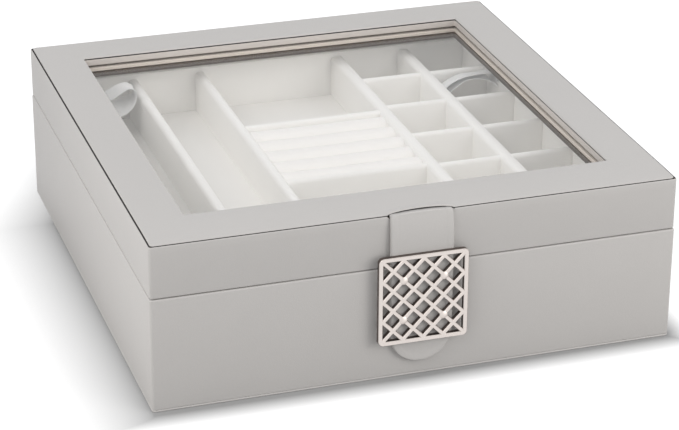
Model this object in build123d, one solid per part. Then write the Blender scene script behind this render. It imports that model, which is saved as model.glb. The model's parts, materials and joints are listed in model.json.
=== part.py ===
from build123d import *
import math
import os

# Tiered jewelry box: leatherette covered case, glazed lid, lift out velvet tray.
# Millimetres. Origin at the middle of the footprint, on the table. +Z is up,
# +X is to the right and the strap is at the front, towards -Y.

# Case
box_width = 267.0
box_depth = 272.0
box_height = 87.0
lid_height = 27.7
lid_seam = 0.4
corner_radius = 1.6
skin = 1.0
base_board = 4.5
bottom_cover = 1.1
bottom_board = 3.0
skin_fold = 0.6
seat_gap = 0.3
overrun = 2.0

# Liner, ledges and lower tier
liner_thickness = 2.2
liner_rise = 5.7
liner_round = 0.8
floor_pad = 3.0
floor_pad_round = 1.2
floor_pad_gap = 0.3
side_ledge = 4.0
end_ledge = 3.0
lower_divider = 3.0
lower_long_share = 0.312
lower_middle_cross_share = 0.1
divider_gap = 0.15

# Tray
tray_gap = 0.4
tray_rise = 6.7
tray_depth = 26.1
tray_board_thickness = 1.8
tray_lining_thickness = 1.0
tray_side_wall = 5.8
tray_end_wall = 2.3
long_divider = 4.5
long_divider_drop = 0.3
long_divider_shares = (-0.65, -0.3273, 0.3533, 0.69)
cross_divider = 2.8
cross_divider_drop = 0.7
cross_pitch = 41.6
cross_row_setback = 4.2
crosses_per_column = 5
ring_roll_pitch = 14.3
ring_roll_count = 5
ring_roll_gap = 0.3
ring_roll_drop = 1.5
ring_roll_end_round = 2.4
ring_roll_end_turn = 70
ring_roll_end_steps = 2
ring_section_centre = 2.55
ring_bar = 4.3
ring_bar_drop = 0.6

# Pull ribbons
ribbon_width = 14.0
ribbon_thickness = 0.4
ribbon_bend = 2.4
left_ribbon_tip_bend = 2.4
left_ribbon_setback = 26.6
left_ribbon_reach = 37.0
left_ribbon_foot = 15.5
left_ribbon_height = 21.5
left_ribbon_shares = ((0, 0.62), (0.6, 0.81), (0.8, 1), (1, 0.7), (0.72, 0.37), (0, 0))
right_ribbon_tip_bend = 0.7
right_ribbon_cross_gap = 4.097
right_ribbon_divider_gap = 0.826
right_ribbon_foot = 13.8
right_ribbon_height = 14.4
right_ribbon_shares = ((0, 0.96), (0.46, 1), (0.7, 0.76), (1, 0), (0.6, 0.5), (0, 0.62))

# Lid
lid_inset = 0.3
lip_clearance = 0.5
top_cover = 1.0
top_cover_inset = 1.2
top_cover_edge = 0.45
lid_lip_drop = 0.35
frame_thickness = 4.0
window_side_border = 24.7
window_front_border = 29.7
window_back_border = 25.5
window_corner = 0.8
pane_thickness = 1.2
pane_overlap = 4.0
pane_clearance = 0.3
retainer_step = 0.6
retainer_thickness = 2.1
trim_thickness = 3.5
lid_liner_thickness = 1.0
lid_liner_clearance = 0.6

# Strap and clasp
strap_width = 32.0
strap_thickness = 2.4
strap_back_thickness = 0.7
strap_standoff = 0.5
strap_tip_height = 8.4
strap_pivot_drop = 1.4
strap_edge = 0.4
tongue_thickness = 0.8
tongue_length = 12.0
tongue_clearance = 0.1
magnet_radius = 5.0
magnet_thickness = 0.9
magnet_clearance = 0.1
plate_width = 45.5
plate_height = 46.5
plate_thickness = 2.6
plate_centre_height = 43.6
plate_corner = 2.6
plate_rim = 2.2
plate_bar = 2.0
plate_edge = 0.3
diamonds_across = 4
rivet_radius = 0.9
rivet_head_radius = 2.0
rivet_head_height = 0.7
rivet_crown_share = 0.6
rivet_clearance = 0.05
fastener_sides = 12

# Hinges
hinge_inset = 53.5
hinge_length = 30.0
hinge_leaf = 0.8
hinge_leaf_height = 13.0
hinge_barrel_radius = 2.0
hinge_pin_radius = 1.0
hinge_pin_clearance = 0.05
hinge_barrel_gap = 0.3
knuckle_count = 3
knuckle_gap = 0.3
leaf_barrel_clearance = 0.4
leaf_corner = 1.5
screw_radius = 0.8
screw_length = 4.0
screw_head_radius = 1.5
screw_head_height = 0.7
screw_clearance = 0.05
screw_inset = 6.0

# Sizes that follow from the ones above
half_width = box_width / 2
half_depth = box_depth / 2
split_height = box_height - lid_height
wall = skin + base_board
inner_half_width = half_width - wall
inner_half_depth = half_depth - wall
base_top = split_height - lid_seam / 2
lid_bottom = split_height + lid_seam / 2
board_foot = bottom_cover
board_head = base_top - skin
floor_top = bottom_cover + bottom_board
pad_top = floor_top + floor_pad
liner_lip_height = split_height + liner_rise
tray_top = split_height + tray_rise
tray_underside = tray_top - tray_depth
ledge_top = tray_underside - seat_gap
liner_half_width = inner_half_width - liner_thickness
liner_half_depth = inner_half_depth - liner_thickness
tray_half_width = liner_half_width - tray_gap
tray_half_depth = liner_half_depth - tray_gap
tray_inner_half_width = tray_half_width - tray_side_wall
tray_inner_half_depth = tray_half_depth - tray_end_wall
long_divider_places = [share * tray_inner_half_width for share in long_divider_shares]
first_row = cross_row_setback - (crosses_per_column - 1) / 2 * cross_pitch
cross_rows = [first_row + row * cross_pitch for row in range(crosses_per_column)]
last_cross = cross_rows[-1] - cross_divider / 2
left_ribbon_place = tray_inner_half_depth - left_ribbon_setback
right_ribbon_place = last_cross - right_ribbon_cross_gap - ribbon_width / 2
outer_cell_width = tray_inner_half_width - long_divider_places[-1] - long_divider / 2
right_ribbon_reach = outer_cell_width - right_ribbon_divider_gap
tray_board_top = tray_underside + tray_board_thickness
tray_floor = tray_board_top + tray_lining_thickness
lid_half_width = half_width - lid_inset
lid_half_depth = half_depth - lid_inset
lid_liner_bottom = liner_lip_height + lid_liner_clearance
window_half_width = lid_half_width - window_side_border
window_front = lid_half_depth - window_front_border
window_back = lid_half_depth - window_back_border
lid_inner_half_width = inner_half_width + lip_clearance
lid_inner_half_depth = inner_half_depth + lip_clearance
cover_underside = box_height - top_cover
frame_underside = cover_underside - frame_thickness
pane_underside = frame_underside - pane_thickness
retainer_underside = pane_underside - retainer_thickness
trim_underside = retainer_underside - trim_thickness
ring_half_span = ring_roll_pitch * ring_roll_count / 2
strap_back_y = -half_depth - strap_standoff
strap_front_y = strap_back_y - strap_thickness
strap_pivot_y = strap_back_y - strap_thickness / 2
strap_pivot_height = box_height - strap_pivot_drop
hinge_axis_y = half_depth + hinge_barrel_gap + hinge_barrel_radius
hinge_place = half_width - hinge_inset


def block(x_low, x_high, y_low, y_high, z_low, z_high):
    """A square edged solid between two corners."""
    width = x_high - x_low
    depth = y_high - y_low
    height = z_high - z_low
    solid = Box(width, depth, height, align=(Align.MIN, Align.MIN, Align.MIN))
    return Pos(x_low, y_low, z_low) * solid


def slab(half_x, half_y, z_low, z_high, radius=0):
    """A centred sheet with rounded corners in plan."""
    width = 2 * half_x
    depth = 2 * half_y
    outline = RectangleRounded(width, depth, radius) if radius else Rectangle(width, depth)
    return Pos(0, 0, z_low) * extrude(outline, z_high - z_low)


def window_prism(margin, z_low, z_high, radius=0):
    """The window's own shape, grown by a margin on every side."""
    width = 2 * (window_half_width + margin)
    depth = window_front + window_back + 2 * margin
    outline = RectangleRounded(width, depth, radius) if radius else Rectangle(width, depth)
    centre = (window_back - window_front) / 2
    return Pos(0, centre, z_low) * extrude(outline, z_high - z_low)


def edges_at_height(solid, height):
    """The edges that lie level at one height."""
    return solid.edges().filter_by_position(Axis.Z, height, height)


def round_top(solid, height, radius):
    """Fillets the edges round a top face."""
    return fillet(edges_at_height(solid, height), radius)


def ease_top(solid, height, length):
    """Bevels the edges round a top face."""
    return chamfer(edges_at_height(solid, height), length)


def four_walls(half_x, half_y, thickness_x, thickness_y, z_low, z_high):
    """Front, back, left and right boards that close a rectangle, ends butted."""
    inner_x = half_x - thickness_x
    inner_y = half_y - thickness_y
    return {
        "front": block(-half_x, half_x, -half_y, -inner_y, z_low, z_high),
        "back": block(-half_x, half_x, inner_y, half_y, z_low, z_high),
        "left": block(-half_x, -inner_x, -inner_y, inner_y, z_low, z_high),
        "right": block(inner_x, half_x, -inner_y, inner_y, z_low, z_high),
    }


def padded_divider(thickness, length, z_low, z_high):
    """An upright board along Y with a full round padded top, centred on its middle."""
    radius = thickness / 2
    shoulder = z_high - radius
    with BuildPart() as made:
        with BuildSketch(Plane.XZ):
            with BuildLine():
                Line((-radius, z_low), (radius, z_low))
                Line((radius, z_low), (radius, shoulder))
                ThreePointArc((radius, shoulder), (0, z_high), (-radius, shoulder))
                Line((-radius, shoulder), (-radius, z_low))
            make_face()
        extrude(amount=length / 2, both=True)
    return made.part


# Base: covered boards

def base_wrap():
    """Leatherette skin round the base walls, turned in over their top edge."""
    body = slab(half_width, half_depth, board_foot, base_top, corner_radius)
    body = ease_top(body, base_top, skin_fold)
    body -= slab(half_width - skin, half_depth - skin, board_foot, board_head)
    body -= slab(inner_half_width, inner_half_depth, board_head, base_top)
    return body


def base_boards():
    """The four wall boards, with the keeper's pocket and the hinge screws' holes."""
    boards = four_walls(
        half_width - skin, half_depth - skin, base_board, base_board, board_foot, board_head
    )
    pocket = magnet_disc(magnet_radius + magnet_clearance, -half_depth + skin, 1)
    boards["front"] -= pocket
    return boards


def magnet_disc(radius, face_y, direction):
    """A disc on its edge, its flat face at one Y, behind the strap's tip."""
    height = strap_tip_height + strap_width / 2
    disc = Rot(X=-90 * direction) * Cylinder(
        radius, magnet_thickness, align=(Align.CENTER, Align.CENTER, Align.MIN)
    )
    return Pos(0, face_y, height) * disc


def base_liners():
    """Velvet covered liner boards whose rounded lip locates the lid."""
    liners = four_walls(
        inner_half_width, inner_half_depth, liner_thickness, liner_thickness,
        floor_top, liner_lip_height
    )
    rounded = {}
    for side, board in liners.items():
        rounded[side] = round_top(board, liner_lip_height, liner_round)
    return rounded


def tray_ledges():
    """Four strips round the lower tier that carry the tray."""
    strips = four_walls(
        liner_half_width, liner_half_depth, side_ledge, end_ledge, floor_top, ledge_top
    )
    return Compound(children=[strip for strip in strips.values()])


def lower_tier_pad():
    """Velvet pad on the floor, with a soft rounded edge."""
    half_x = liner_half_width - side_ledge - floor_pad_gap
    half_y = liner_half_depth - end_ledge - floor_pad_gap
    pad = slab(half_x, half_y, floor_top, pad_top)
    return round_top(pad, pad_top, floor_pad_round)


def lower_dividers():
    """Two long partitions and the cross pieces between them and the ledges."""
    long_length = 2 * (liner_half_depth - end_ledge - divider_gap)
    outer = liner_half_width - side_ledge
    half_spacing = outer * lower_long_share
    offset = liner_half_depth * lower_middle_cross_share
    long_ones = []
    for side in (-1, 1):
        board = padded_divider(lower_divider, long_length, pad_top, ledge_top)
        long_ones.append(Pos(side * half_spacing, 0, 0) * board)
    edge = lower_divider / 2
    spans = (
        (-outer, -half_spacing - edge, 0),
        (-half_spacing + edge, half_spacing - edge, offset),
        (half_spacing + edge, outer, 0),
    )
    cross_ones = []
    for left, right, offset_y in spans:
        length = right - left - 2 * divider_gap
        board = Rot(Z=90) * padded_divider(lower_divider, length, pad_top, ledge_top)
        cross_ones.append(Pos((left + right) / 2, offset_y, 0) * board)
    return Compound(children=long_ones), Compound(children=cross_ones)


# Tray

def tray_parts():
    """Floor, walls, dividers, ring rolls and ribbons of the lift out tray."""
    parts = {
        "tray_board": slab(
            tray_inner_half_width, tray_inner_half_depth, tray_underside, tray_board_top
        ),
        "tray_lining": slab(
            tray_inner_half_width, tray_inner_half_depth, tray_board_top, tray_floor
        ),
    }
    parts.update(tray_walls())
    parts.update(long_dividers())
    parts.update(cross_dividers())
    parts.update(ring_section())
    return parts


def tray_walls():
    """Padded tray walls: thick sides and thin ends, round along their tops."""
    side_length = 2 * tray_half_depth
    end_length = 2 * tray_inner_half_width
    side_x = tray_half_width - tray_side_wall / 2
    end_y = tray_half_depth - tray_end_wall / 2
    side = padded_divider(tray_side_wall, side_length, tray_underside, tray_top)
    end = Rot(Z=90) * padded_divider(tray_end_wall, end_length, tray_underside, tray_top)
    return {
        "tray_left_wall": Pos(-side_x, 0, 0) * side,
        "tray_right_wall": Pos(side_x, 0, 0) * side,
        "tray_front_wall": Pos(0, -end_y, 0) * end,
        "tray_back_wall": Pos(0, end_y, 0) * end,
    }


def long_dividers():
    """The four dividers that run from front to back."""
    names = ("left_outer", "left_inner", "right_inner", "right_outer")
    length = 2 * (tray_inner_half_depth - divider_gap)
    parts = {}
    for name, place in zip(names, long_divider_places):
        board = padded_divider(long_divider, length, tray_floor, tray_top - long_divider_drop)
        parts["long_divider_" + name] = Pos(place, 0, 0) * board
    return parts


def cross_dividers():
    """Two columns of thin dividers that make the small square compartments."""
    inner_left = long_divider_places[2] + long_divider / 2
    inner_right = long_divider_places[3] - long_divider / 2
    outer_left = long_divider_places[3] + long_divider / 2
    columns = {
        "cross_dividers_inner": (inner_left, inner_right),
        "cross_dividers_outer": (outer_left, tray_inner_half_width),
    }
    parts = {}
    for name, (left, right) in columns.items():
        length = right - left - 2 * divider_gap
        boards = []
        for place in cross_rows:
            board = Rot(Z=90) * padded_divider(
                cross_divider, length, tray_floor, tray_top - cross_divider_drop
            )
            boards.append(Pos((left + right) / 2, place, 0) * board)
        parts[name] = Compound(children=boards)
    return parts


def ring_section():
    """Five soft rolls between two bars, across the middle column."""
    left = long_divider_places[1] + long_divider / 2
    right = long_divider_places[2] - long_divider / 2
    middle = (left + right) / 2
    length = right - left - 2 * divider_gap
    bar = Rot(Z=90) * padded_divider(ring_bar, length, tray_floor, tray_top - ring_bar_drop)
    bar_offset = ring_half_span + ring_bar / 2
    rolls = []
    for index in range(ring_roll_count):
        place = ring_section_centre + (index - (ring_roll_count - 1) / 2) * ring_roll_pitch
        rolls.append(Pos(middle, place, 0) * ring_roll(length))
    return {
        "ring_bar_back": Pos(middle, ring_section_centre + bar_offset, 0) * bar,
        "ring_bar_front": Pos(middle, ring_section_centre - bar_offset, 0) * bar,
        "ring_rolls": Compound(children=rolls),
    }


def roll_section(place, inset):
    """The roll's section at one place along it, drawn in by an inset."""
    radius = (ring_roll_pitch - ring_roll_gap) / 2 - inset
    crest = tray_top - ring_roll_drop - inset
    shoulder = crest - radius
    with BuildSketch(Plane.YZ.offset(place)) as made:
        with BuildLine():
            Line((-radius, tray_floor), (radius, tray_floor))
            Line((radius, tray_floor), (radius, shoulder))
            ThreePointArc((radius, shoulder), (0, crest), (-radius, shoulder))
            Line((-radius, shoulder), (-radius, tray_floor))
        make_face()
    return made.sketch


def ring_roll(length):
    """One foam roll: upright sides, round crest, ends drawn in."""
    half = length / 2
    ends = []
    for step in range(ring_roll_end_steps + 1):
        turn = math.radians(ring_roll_end_turn * (1 - step / ring_roll_end_steps))
        ends.append((
            half - ring_roll_end_round * (math.sin(math.radians(ring_roll_end_turn)) - math.sin(turn)),
            ring_roll_end_round * (1 - math.cos(turn)),
        ))
    stations = [(-place, inset) for place, inset in ends] + ends[::-1]
    return loft([roll_section(place, inset) for place, inset in stations], ruled=True)


def pull_ribbon(side, place, reach, foot, height, shares, tip_bend):
    """A satin loop sewn to the inner face of one side wall."""
    sewn_x = tray_inner_half_width - ribbon_thickness / 2
    low = tray_top - foot
    points = [(sewn_x - across * reach, low + up * height) for across, up in shares]
    bends = [tip_bend if across == 1 else ribbon_bend for across, up in shares[1:-1]]
    path = FilletPolyline(*points, radius=bends)
    band = Plane.XZ * trace(path, ribbon_thickness)
    solid = extrude(band, ribbon_width / 2, both=True)
    if side < 0:
        solid = mirror(solid, about=Plane.YZ)
    return Pos(0, place, 0) * solid


def pull_ribbons():
    """Both loops that lift the tray."""
    return {
        "pull_ribbon_left": pull_ribbon(
            -1, left_ribbon_place, left_ribbon_reach, left_ribbon_foot,
            left_ribbon_height, left_ribbon_shares, left_ribbon_tip_bend
        ),
        "pull_ribbon_right": pull_ribbon(
            1, right_ribbon_place, right_ribbon_reach, right_ribbon_foot,
            right_ribbon_height, right_ribbon_shares, right_ribbon_tip_bend
        ),
    }


# Lid

def lid_wrap():
    """Leatherette skin round the lid walls, turned in under their lower edge."""
    rim_top = box_height - lid_lip_drop
    body = slab(lid_half_width, lid_half_depth, lid_bottom, rim_top, corner_radius)
    rims = edges_at_height(body, rim_top) + edges_at_height(body, lid_bottom)
    body = chamfer(rims, skin_fold)
    body -= slab(
        lid_half_width - skin, lid_half_depth - skin, lid_bottom + skin, box_height + overrun
    )
    body -= slab(lid_inner_half_width, lid_inner_half_depth, lid_bottom, lid_bottom + skin)
    return body - strap_slot()


def strap_slot():
    """The shallow slot in the front edge that the strap's tongue lies in."""
    half = strap_width / 2 + tongue_clearance
    floor = cover_underside - tongue_thickness - tongue_clearance
    front = -half_depth - overrun
    back = -half_depth + tongue_length
    return block(-half, half, front, back, floor, box_height + overrun)


def lid_boards():
    """The four lid wall boards."""
    thickness_x = lid_half_width - skin - lid_inner_half_width
    thickness_y = lid_half_depth - skin - lid_inner_half_depth
    boards = four_walls(
        lid_half_width - skin, lid_half_depth - skin, thickness_x, thickness_y,
        lid_bottom + skin, cover_underside
    )
    boards["front"] -= strap_slot()
    return boards


def window_frame():
    """Board under the top cover, with the square window cut in it."""
    frame = slab(
        lid_inner_half_width, lid_inner_half_depth, frame_underside, cover_underside
    )
    frame -= window_prism(0, frame_underside, cover_underside, window_corner)
    return frame - strap_slot()


def lid_top_cover():
    """Soft cover sheet with rounded inner and outer edges."""
    cover = slab(
        lid_half_width - top_cover_inset, lid_half_depth - top_cover_inset,
        cover_underside, box_height, corner_radius
    )
    cover -= window_prism(0, cover_underside, box_height, window_corner)
    return ease_top(cover, box_height, top_cover_edge)


def window_pane():
    """Clear pane, held under the frame by its edges."""
    return window_prism(pane_overlap, pane_underside, frame_underside)


def pane_retainer():
    """Rail under the pane, rebated for its edge."""
    rail = slab(
        lid_inner_half_width, lid_inner_half_depth, retainer_underside, frame_underside
    )
    rail -= window_prism(-retainer_step, retainer_underside, pane_underside, window_corner)
    return rail - window_prism(pane_overlap + pane_clearance, pane_underside, frame_underside)


def window_trim():
    """Dark rail under the retainer."""
    rail = slab(
        lid_inner_half_width, lid_inner_half_depth, trim_underside, retainer_underside
    )
    return rail - window_prism(-retainer_step, trim_underside, retainer_underside, window_corner)


def lid_liner():
    """Thin velvet band inside the lid walls."""
    band = slab(lid_inner_half_width, lid_inner_half_depth, lid_liner_bottom, trim_underside)
    return band - slab(
        lid_inner_half_width - lid_liner_thickness, lid_inner_half_depth - lid_liner_thickness,
        lid_liner_bottom, trim_underside
    )


def strap_root():
    """Tongue of the strap, clamped under the top cover."""
    half = strap_width / 2
    front = strap_back_y + seat_gap
    back = -half_depth + tongue_length
    top = cover_underside
    return block(-half, half, front, back - tongue_clearance, top - tongue_thickness, top)


# Strap and clasp

def strap_outline():
    """The strap seen from the front: straight sides and a half round tip."""
    radius = strap_width / 2
    tip_centre = strap_tip_height + radius
    with BuildSketch(Plane.XZ) as made:
        with BuildLine():
            Line((-radius, strap_pivot_height), (-radius, tip_centre))
            ThreePointArc((-radius, tip_centre), (0, strap_tip_height), (radius, tip_centre))
            Line((radius, tip_centre), (radius, strap_pivot_height))
            Line((radius, strap_pivot_height), (-radius, strap_pivot_height))
        make_face()
    return made.sketch


def strap_layer(back_y, front_y):
    """One layer of the strap between two faces."""
    return Pos(0, back_y, 0) * extrude(strap_outline(), back_y - front_y)


def strap_layers():
    """Face layer with its rolled top and magnet pocket, and the thin back layer."""
    join_y = strap_back_y - strap_back_thickness
    face = strap_layer(join_y, strap_front_y)
    front_edges = face.edges().filter_by_position(Axis.Y, strap_front_y, strap_front_y)
    soft_edges = [edge for edge in front_edges if edge.center().Z < strap_pivot_height - seat_gap]
    face = chamfer(soft_edges, strap_edge)
    roll = Rot(Y=90) * Cylinder(strap_thickness / 2, strap_width)
    roll = Pos(0, strap_pivot_y, strap_pivot_height) * roll
    back = strap_layer(strap_back_y, join_y)
    face = face + (roll - back)
    face -= magnet_disc(magnet_radius + magnet_clearance, join_y, -1)
    return cut_rivet_holes(face), back


def rivet_places():
    """Rivets sit on crossings of the trellis inside the strap's width."""
    across = 2 * trellis_step_x()
    up = 2 * trellis_step_z()
    return [(x * across, plate_centre_height + z * up) for x in (-1, 1) for z in (-1, 1)]


def trellis_step_x():
    """Half the width of one diamond."""
    return (plate_width - 2 * plate_rim) / (2 * diamonds_across)


def trellis_step_z():
    """Half the height of one diamond."""
    return (plate_height - 2 * plate_rim) / (2 * diamonds_across)


def faceted_pin(*sections):
    """A many sided pin along Y, through sections given as (distance forwards, radius)."""
    rings = [
        Plane.XZ.offset(forwards) * RegularPolygon(radius, fastener_sides)
        for forwards, radius in sections
    ]
    return loft(rings, ruled=True)


def rivet_shank(clearance):
    """Shank from the plate's face to the back of the strap's face layer."""
    length = plate_thickness + strap_thickness - strap_back_thickness
    radius = rivet_radius + clearance
    return faceted_pin((0, radius), (-length, radius))


def at_rivets(shape):
    """Copies of a shape on the plate's front face, one for each rivet."""
    front = strap_front_y - plate_thickness
    return [Pos(x, front, z) * shape for x, z in rivet_places()]


def clasp_rivets():
    """Rivets with a low crown, their shanks through the plate and the face layer."""
    crown = rivet_head_radius * rivet_crown_share
    head = faceted_pin((rivet_head_height, crown), (0, rivet_head_radius))
    return Compound(children=at_rivets(head + rivet_shank(0)))


def cut_rivet_holes(shape):
    """Takes the four rivets' holes out of the plate or the strap."""
    for hole in at_rivets(rivet_shank(rivet_clearance)):
        shape -= hole
    return shape


def trellis_bar(start, end):
    """One flat diagonal bar between two points of the plate's plane."""
    run = math.hypot(end[0] - start[0], end[1] - start[1])
    tilt = math.degrees(math.atan2(end[1] - start[1], end[0] - start[0]))
    bar = Rectangle(run + 2 * plate_rim, plate_bar)
    return Pos((start[0] + end[0]) / 2, (start[1] + end[1]) / 2) * Rot(Z=tilt) * bar


def trellis_lines():
    """End points of the crossing diagonals, edge to edge of the opening."""
    half_x = plate_width / 2 - plate_rim
    half_z = plate_height / 2 - plate_rim
    step_x = 2 * trellis_step_x()
    step_z = 2 * trellis_step_z()
    lines = []
    for index in range(1 - diamonds_across, diamonds_across):
        shift = abs(index)
        span = diamonds_across - shift
        low = (-half_x + max(index, 0) * step_x, -half_z + max(-index, 0) * step_z)
        high = (low[0] + span * step_x, low[1] + span * step_z)
        lines.append((low, high))
        lines.append(((low[0], -low[1]), (high[0], -high[1])))
    return lines


def clasp_plate():
    """Openwork plate: a rounded rim filled with a diamond trellis."""
    rim = RectangleRounded(plate_width, plate_height, plate_corner)
    hole_corner = plate_corner - plate_rim
    opening = RectangleRounded(
        plate_width - 2 * plate_rim, plate_height - 2 * plate_rim, hole_corner
    )
    outline = rim - opening
    for start, end in trellis_lines():
        outline += trellis_bar(start, end) & rim
    plate = extrude(Plane.XZ * outline, plate_thickness)
    plate = Pos(0, strap_front_y, plate_centre_height) * plate
    front = strap_front_y - plate_thickness
    front_edges = plate.edges().filter_by_position(Axis.Y, front, front)
    return cut_rivet_holes(chamfer(front_edges, plate_edge))


# Hinges

def knuckle_span(index):
    """Start and end of one knuckle along the barrel, before its end gaps."""
    pitch = hinge_length / knuckle_count
    start = -hinge_length / 2 + index * pitch
    return start, start + pitch


def hinge_leaf_solid(direction):
    """A leaf on the back face: plate, tabs and knuckles. Direction 1 is the lid's."""
    owned = [index for index in range(knuckle_count) if index % 2 == (1 if direction > 0 else 0)]
    barrel_y = hinge_axis_y
    face_y = half_depth - (lid_inset if direction > 0 else 0)
    near = hinge_barrel_radius + leaf_barrel_clearance
    plate = hinge_plate(direction, face_y, near)
    for index in owned:
        start, end = knuckle_span(index)
        length = end - start - knuckle_gap
        middle = (start + end) / 2
        tab = block(
            middle - length / 2, middle + length / 2, face_y, face_y + hinge_leaf,
            min(0, direction * near), max(0, direction * near)
        )
        bridge = block(
            middle - length / 2, middle + length / 2, face_y, barrel_y,
            min(0, direction * hinge_leaf), max(0, direction * hinge_leaf)
        )
        tube = Rot(Y=90) * Cylinder(hinge_barrel_radius, length)
        plate = plate + tab + bridge + Pos(middle, barrel_y, 0) * tube
    bore = Rot(Y=90) * Cylinder(hinge_pin_radius + hinge_pin_clearance, hinge_length + overrun)
    plate -= Pos(0, barrel_y, 0) * bore
    return Pos(0, 0, split_height) * plate


def hinge_plate(direction, face_y, near):
    """The flat of a leaf, with round corners away from the barrel and screw holes."""
    with BuildPart() as made:
        with BuildSketch(Plane.XZ):
            with Locations((0, direction * (near + hinge_leaf_height / 2))):
                Rectangle(hinge_length, hinge_leaf_height)
        extrude(amount=-hinge_leaf)
        far = direction * (near + hinge_leaf_height)
        corners = [
            edge for edge in made.edges().filter_by(Axis.Y)
            if abs(edge.center().Z - far) < seat_gap
        ]
        fillet(corners, leaf_corner)
    plate = Pos(0, face_y, 0) * made.part
    for x, z in screw_places(direction):
        hole = screw_shape(x, face_y, z, screw_clearance)
        plate -= hole
    return plate


def screw_places(direction):
    """Two screws in each leaf, measured from the hinge's middle."""
    near = hinge_barrel_radius + leaf_barrel_clearance
    across = hinge_length / 2 - screw_inset
    height = direction * (near + hinge_leaf_height / 2)
    return [(-across, height), (across, height)]


def screw_shape(x, face_y, z, clearance):
    """A countersunk screw driven forwards from a leaf's outer face."""
    screw = faceted_pin(
        (0, screw_head_radius + clearance), (screw_head_height, screw_radius + clearance),
        (screw_length + clearance, screw_radius + clearance)
    )
    return Pos(x, face_y + hinge_leaf, z) * screw


def hinge_screws(direction, clearance=0):
    """All four screws of the base leaves or of the lid leaves."""
    face_y = half_depth - (lid_inset if direction > 0 else 0)
    screws = []
    for side in (-1, 1):
        for x, z in screw_places(direction):
            shape = screw_shape(x, face_y, z, clearance)
            screws.append(Pos(side * hinge_place, 0, split_height) * shape)
    return screws


def hinge_pin():
    """Pin through the knuckles, flush with the barrel's ends."""
    pin = Rot(Y=90) * Cylinder(hinge_pin_radius, hinge_length)
    return Pos(0, hinge_axis_y, split_height) * pin


def hinge_parts():
    """Both hinges."""
    parts = {}
    for side, name in ((-1, "left"), (1, "right")):
        shift = Pos(side * hinge_place, 0, 0)
        parts["hinge_base_leaf_" + name] = shift * hinge_leaf_solid(-1)
        parts["hinge_lid_leaf_" + name] = shift * hinge_leaf_solid(1)
        parts["hinge_pin_" + name] = shift * hinge_pin()
    parts["hinge_screws_base"] = Compound(children=hinge_screws(-1))
    parts["hinge_screws_lid"] = Compound(children=hinge_screws(1))
    return parts


def base_parts():
    """Everything that stays on the table."""
    parts = {
        "base_bottom_cover": slab(half_width, half_depth, 0, bottom_cover, corner_radius),
        "base_bottom_board": slab(inner_half_width, inner_half_depth, board_foot, floor_top),
        "floor_pad": lower_tier_pad(),
        "tray_ledges": tray_ledges(),
        "base_magnet": magnet_disc(magnet_radius, -half_depth + skin, 1),
    }
    wrap = base_wrap()
    boards = base_boards()
    for hole in hinge_screws(-1, screw_clearance):
        wrap -= hole
        boards["back"] -= hole
    parts["base_wrap"] = wrap
    for side, board in boards.items():
        parts["base_" + side + "_board"] = board
    for side, board in base_liners().items():
        parts["base_liner_" + side] = board
    long_ones, cross_ones = lower_dividers()
    parts["lower_long_dividers"] = long_ones
    parts["lower_cross_dividers"] = cross_ones
    return parts


def lid_parts():
    """Everything that turns with the lid."""
    parts = {
        "window_frame": window_frame(),
        "lid_top_cover": lid_top_cover(),
        "window_pane": window_pane(),
        "pane_retainer": pane_retainer(),
        "window_trim": window_trim(),
        "lid_liner": lid_liner(),
        "strap_root": strap_root(),
    }
    wrap = lid_wrap()
    boards = lid_boards()
    for hole in hinge_screws(1, screw_clearance):
        wrap -= hole
        boards["back"] -= hole
    parts["lid_wrap"] = wrap
    for side, board in boards.items():
        parts["lid_" + side + "_board"] = board
    return parts


def flap_parts():
    """The strap, its magnet and the clasp plate."""
    face, back = strap_layers()
    join_y = strap_back_y - strap_back_thickness
    return {
        "strap_face": face,
        "strap_back": back,
        "strap_magnet": magnet_disc(magnet_radius, join_y, -1),
        "clasp_plate": clasp_plate(),
        "clasp_rivets": clasp_rivets(),
    }


def build():
    """Writes one file per node."""
    os.makedirs("parts", exist_ok=True)
    parts = {}
    for group in (base_parts, lid_parts, flap_parts, tray_parts, pull_ribbons, hinge_parts):
        parts.update(group())
    for name, shape in parts.items():
        export_step(shape, "parts/" + name + ".step")


build()
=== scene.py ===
import json
import math

import bmesh
import bpy
import numpy as np
from mathutils import Matrix, Vector, noise


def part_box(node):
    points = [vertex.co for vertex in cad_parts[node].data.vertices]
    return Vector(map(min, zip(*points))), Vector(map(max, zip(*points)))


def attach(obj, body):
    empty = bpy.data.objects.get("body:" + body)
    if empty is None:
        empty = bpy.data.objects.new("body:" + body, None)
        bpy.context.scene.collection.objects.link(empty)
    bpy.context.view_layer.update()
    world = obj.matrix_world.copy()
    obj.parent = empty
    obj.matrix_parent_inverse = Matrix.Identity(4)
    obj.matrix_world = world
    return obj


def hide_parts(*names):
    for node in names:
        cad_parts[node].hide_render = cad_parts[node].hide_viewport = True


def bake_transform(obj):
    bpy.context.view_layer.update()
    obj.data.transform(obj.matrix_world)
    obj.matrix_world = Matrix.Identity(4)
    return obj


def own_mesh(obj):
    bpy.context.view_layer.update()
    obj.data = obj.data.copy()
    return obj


# Tiered jewelry box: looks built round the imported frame. Metres, +Z up, strap towards -Y.
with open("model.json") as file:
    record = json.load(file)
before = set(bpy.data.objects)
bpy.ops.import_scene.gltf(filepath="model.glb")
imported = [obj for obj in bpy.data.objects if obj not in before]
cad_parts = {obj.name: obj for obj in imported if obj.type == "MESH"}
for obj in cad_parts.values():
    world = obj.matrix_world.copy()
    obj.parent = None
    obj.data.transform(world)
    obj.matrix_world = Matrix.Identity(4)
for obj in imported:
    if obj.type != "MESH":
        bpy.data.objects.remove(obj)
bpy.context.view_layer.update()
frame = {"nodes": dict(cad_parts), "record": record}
mm = 0.001

# A fixed seed, so that the velvet's ripples come out the same on every run.
noise.seed_set(5)

# Mesh building
weld_distance = 0.002 * mm
least_corner = 0.03 * mm
run_steps = 24

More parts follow.
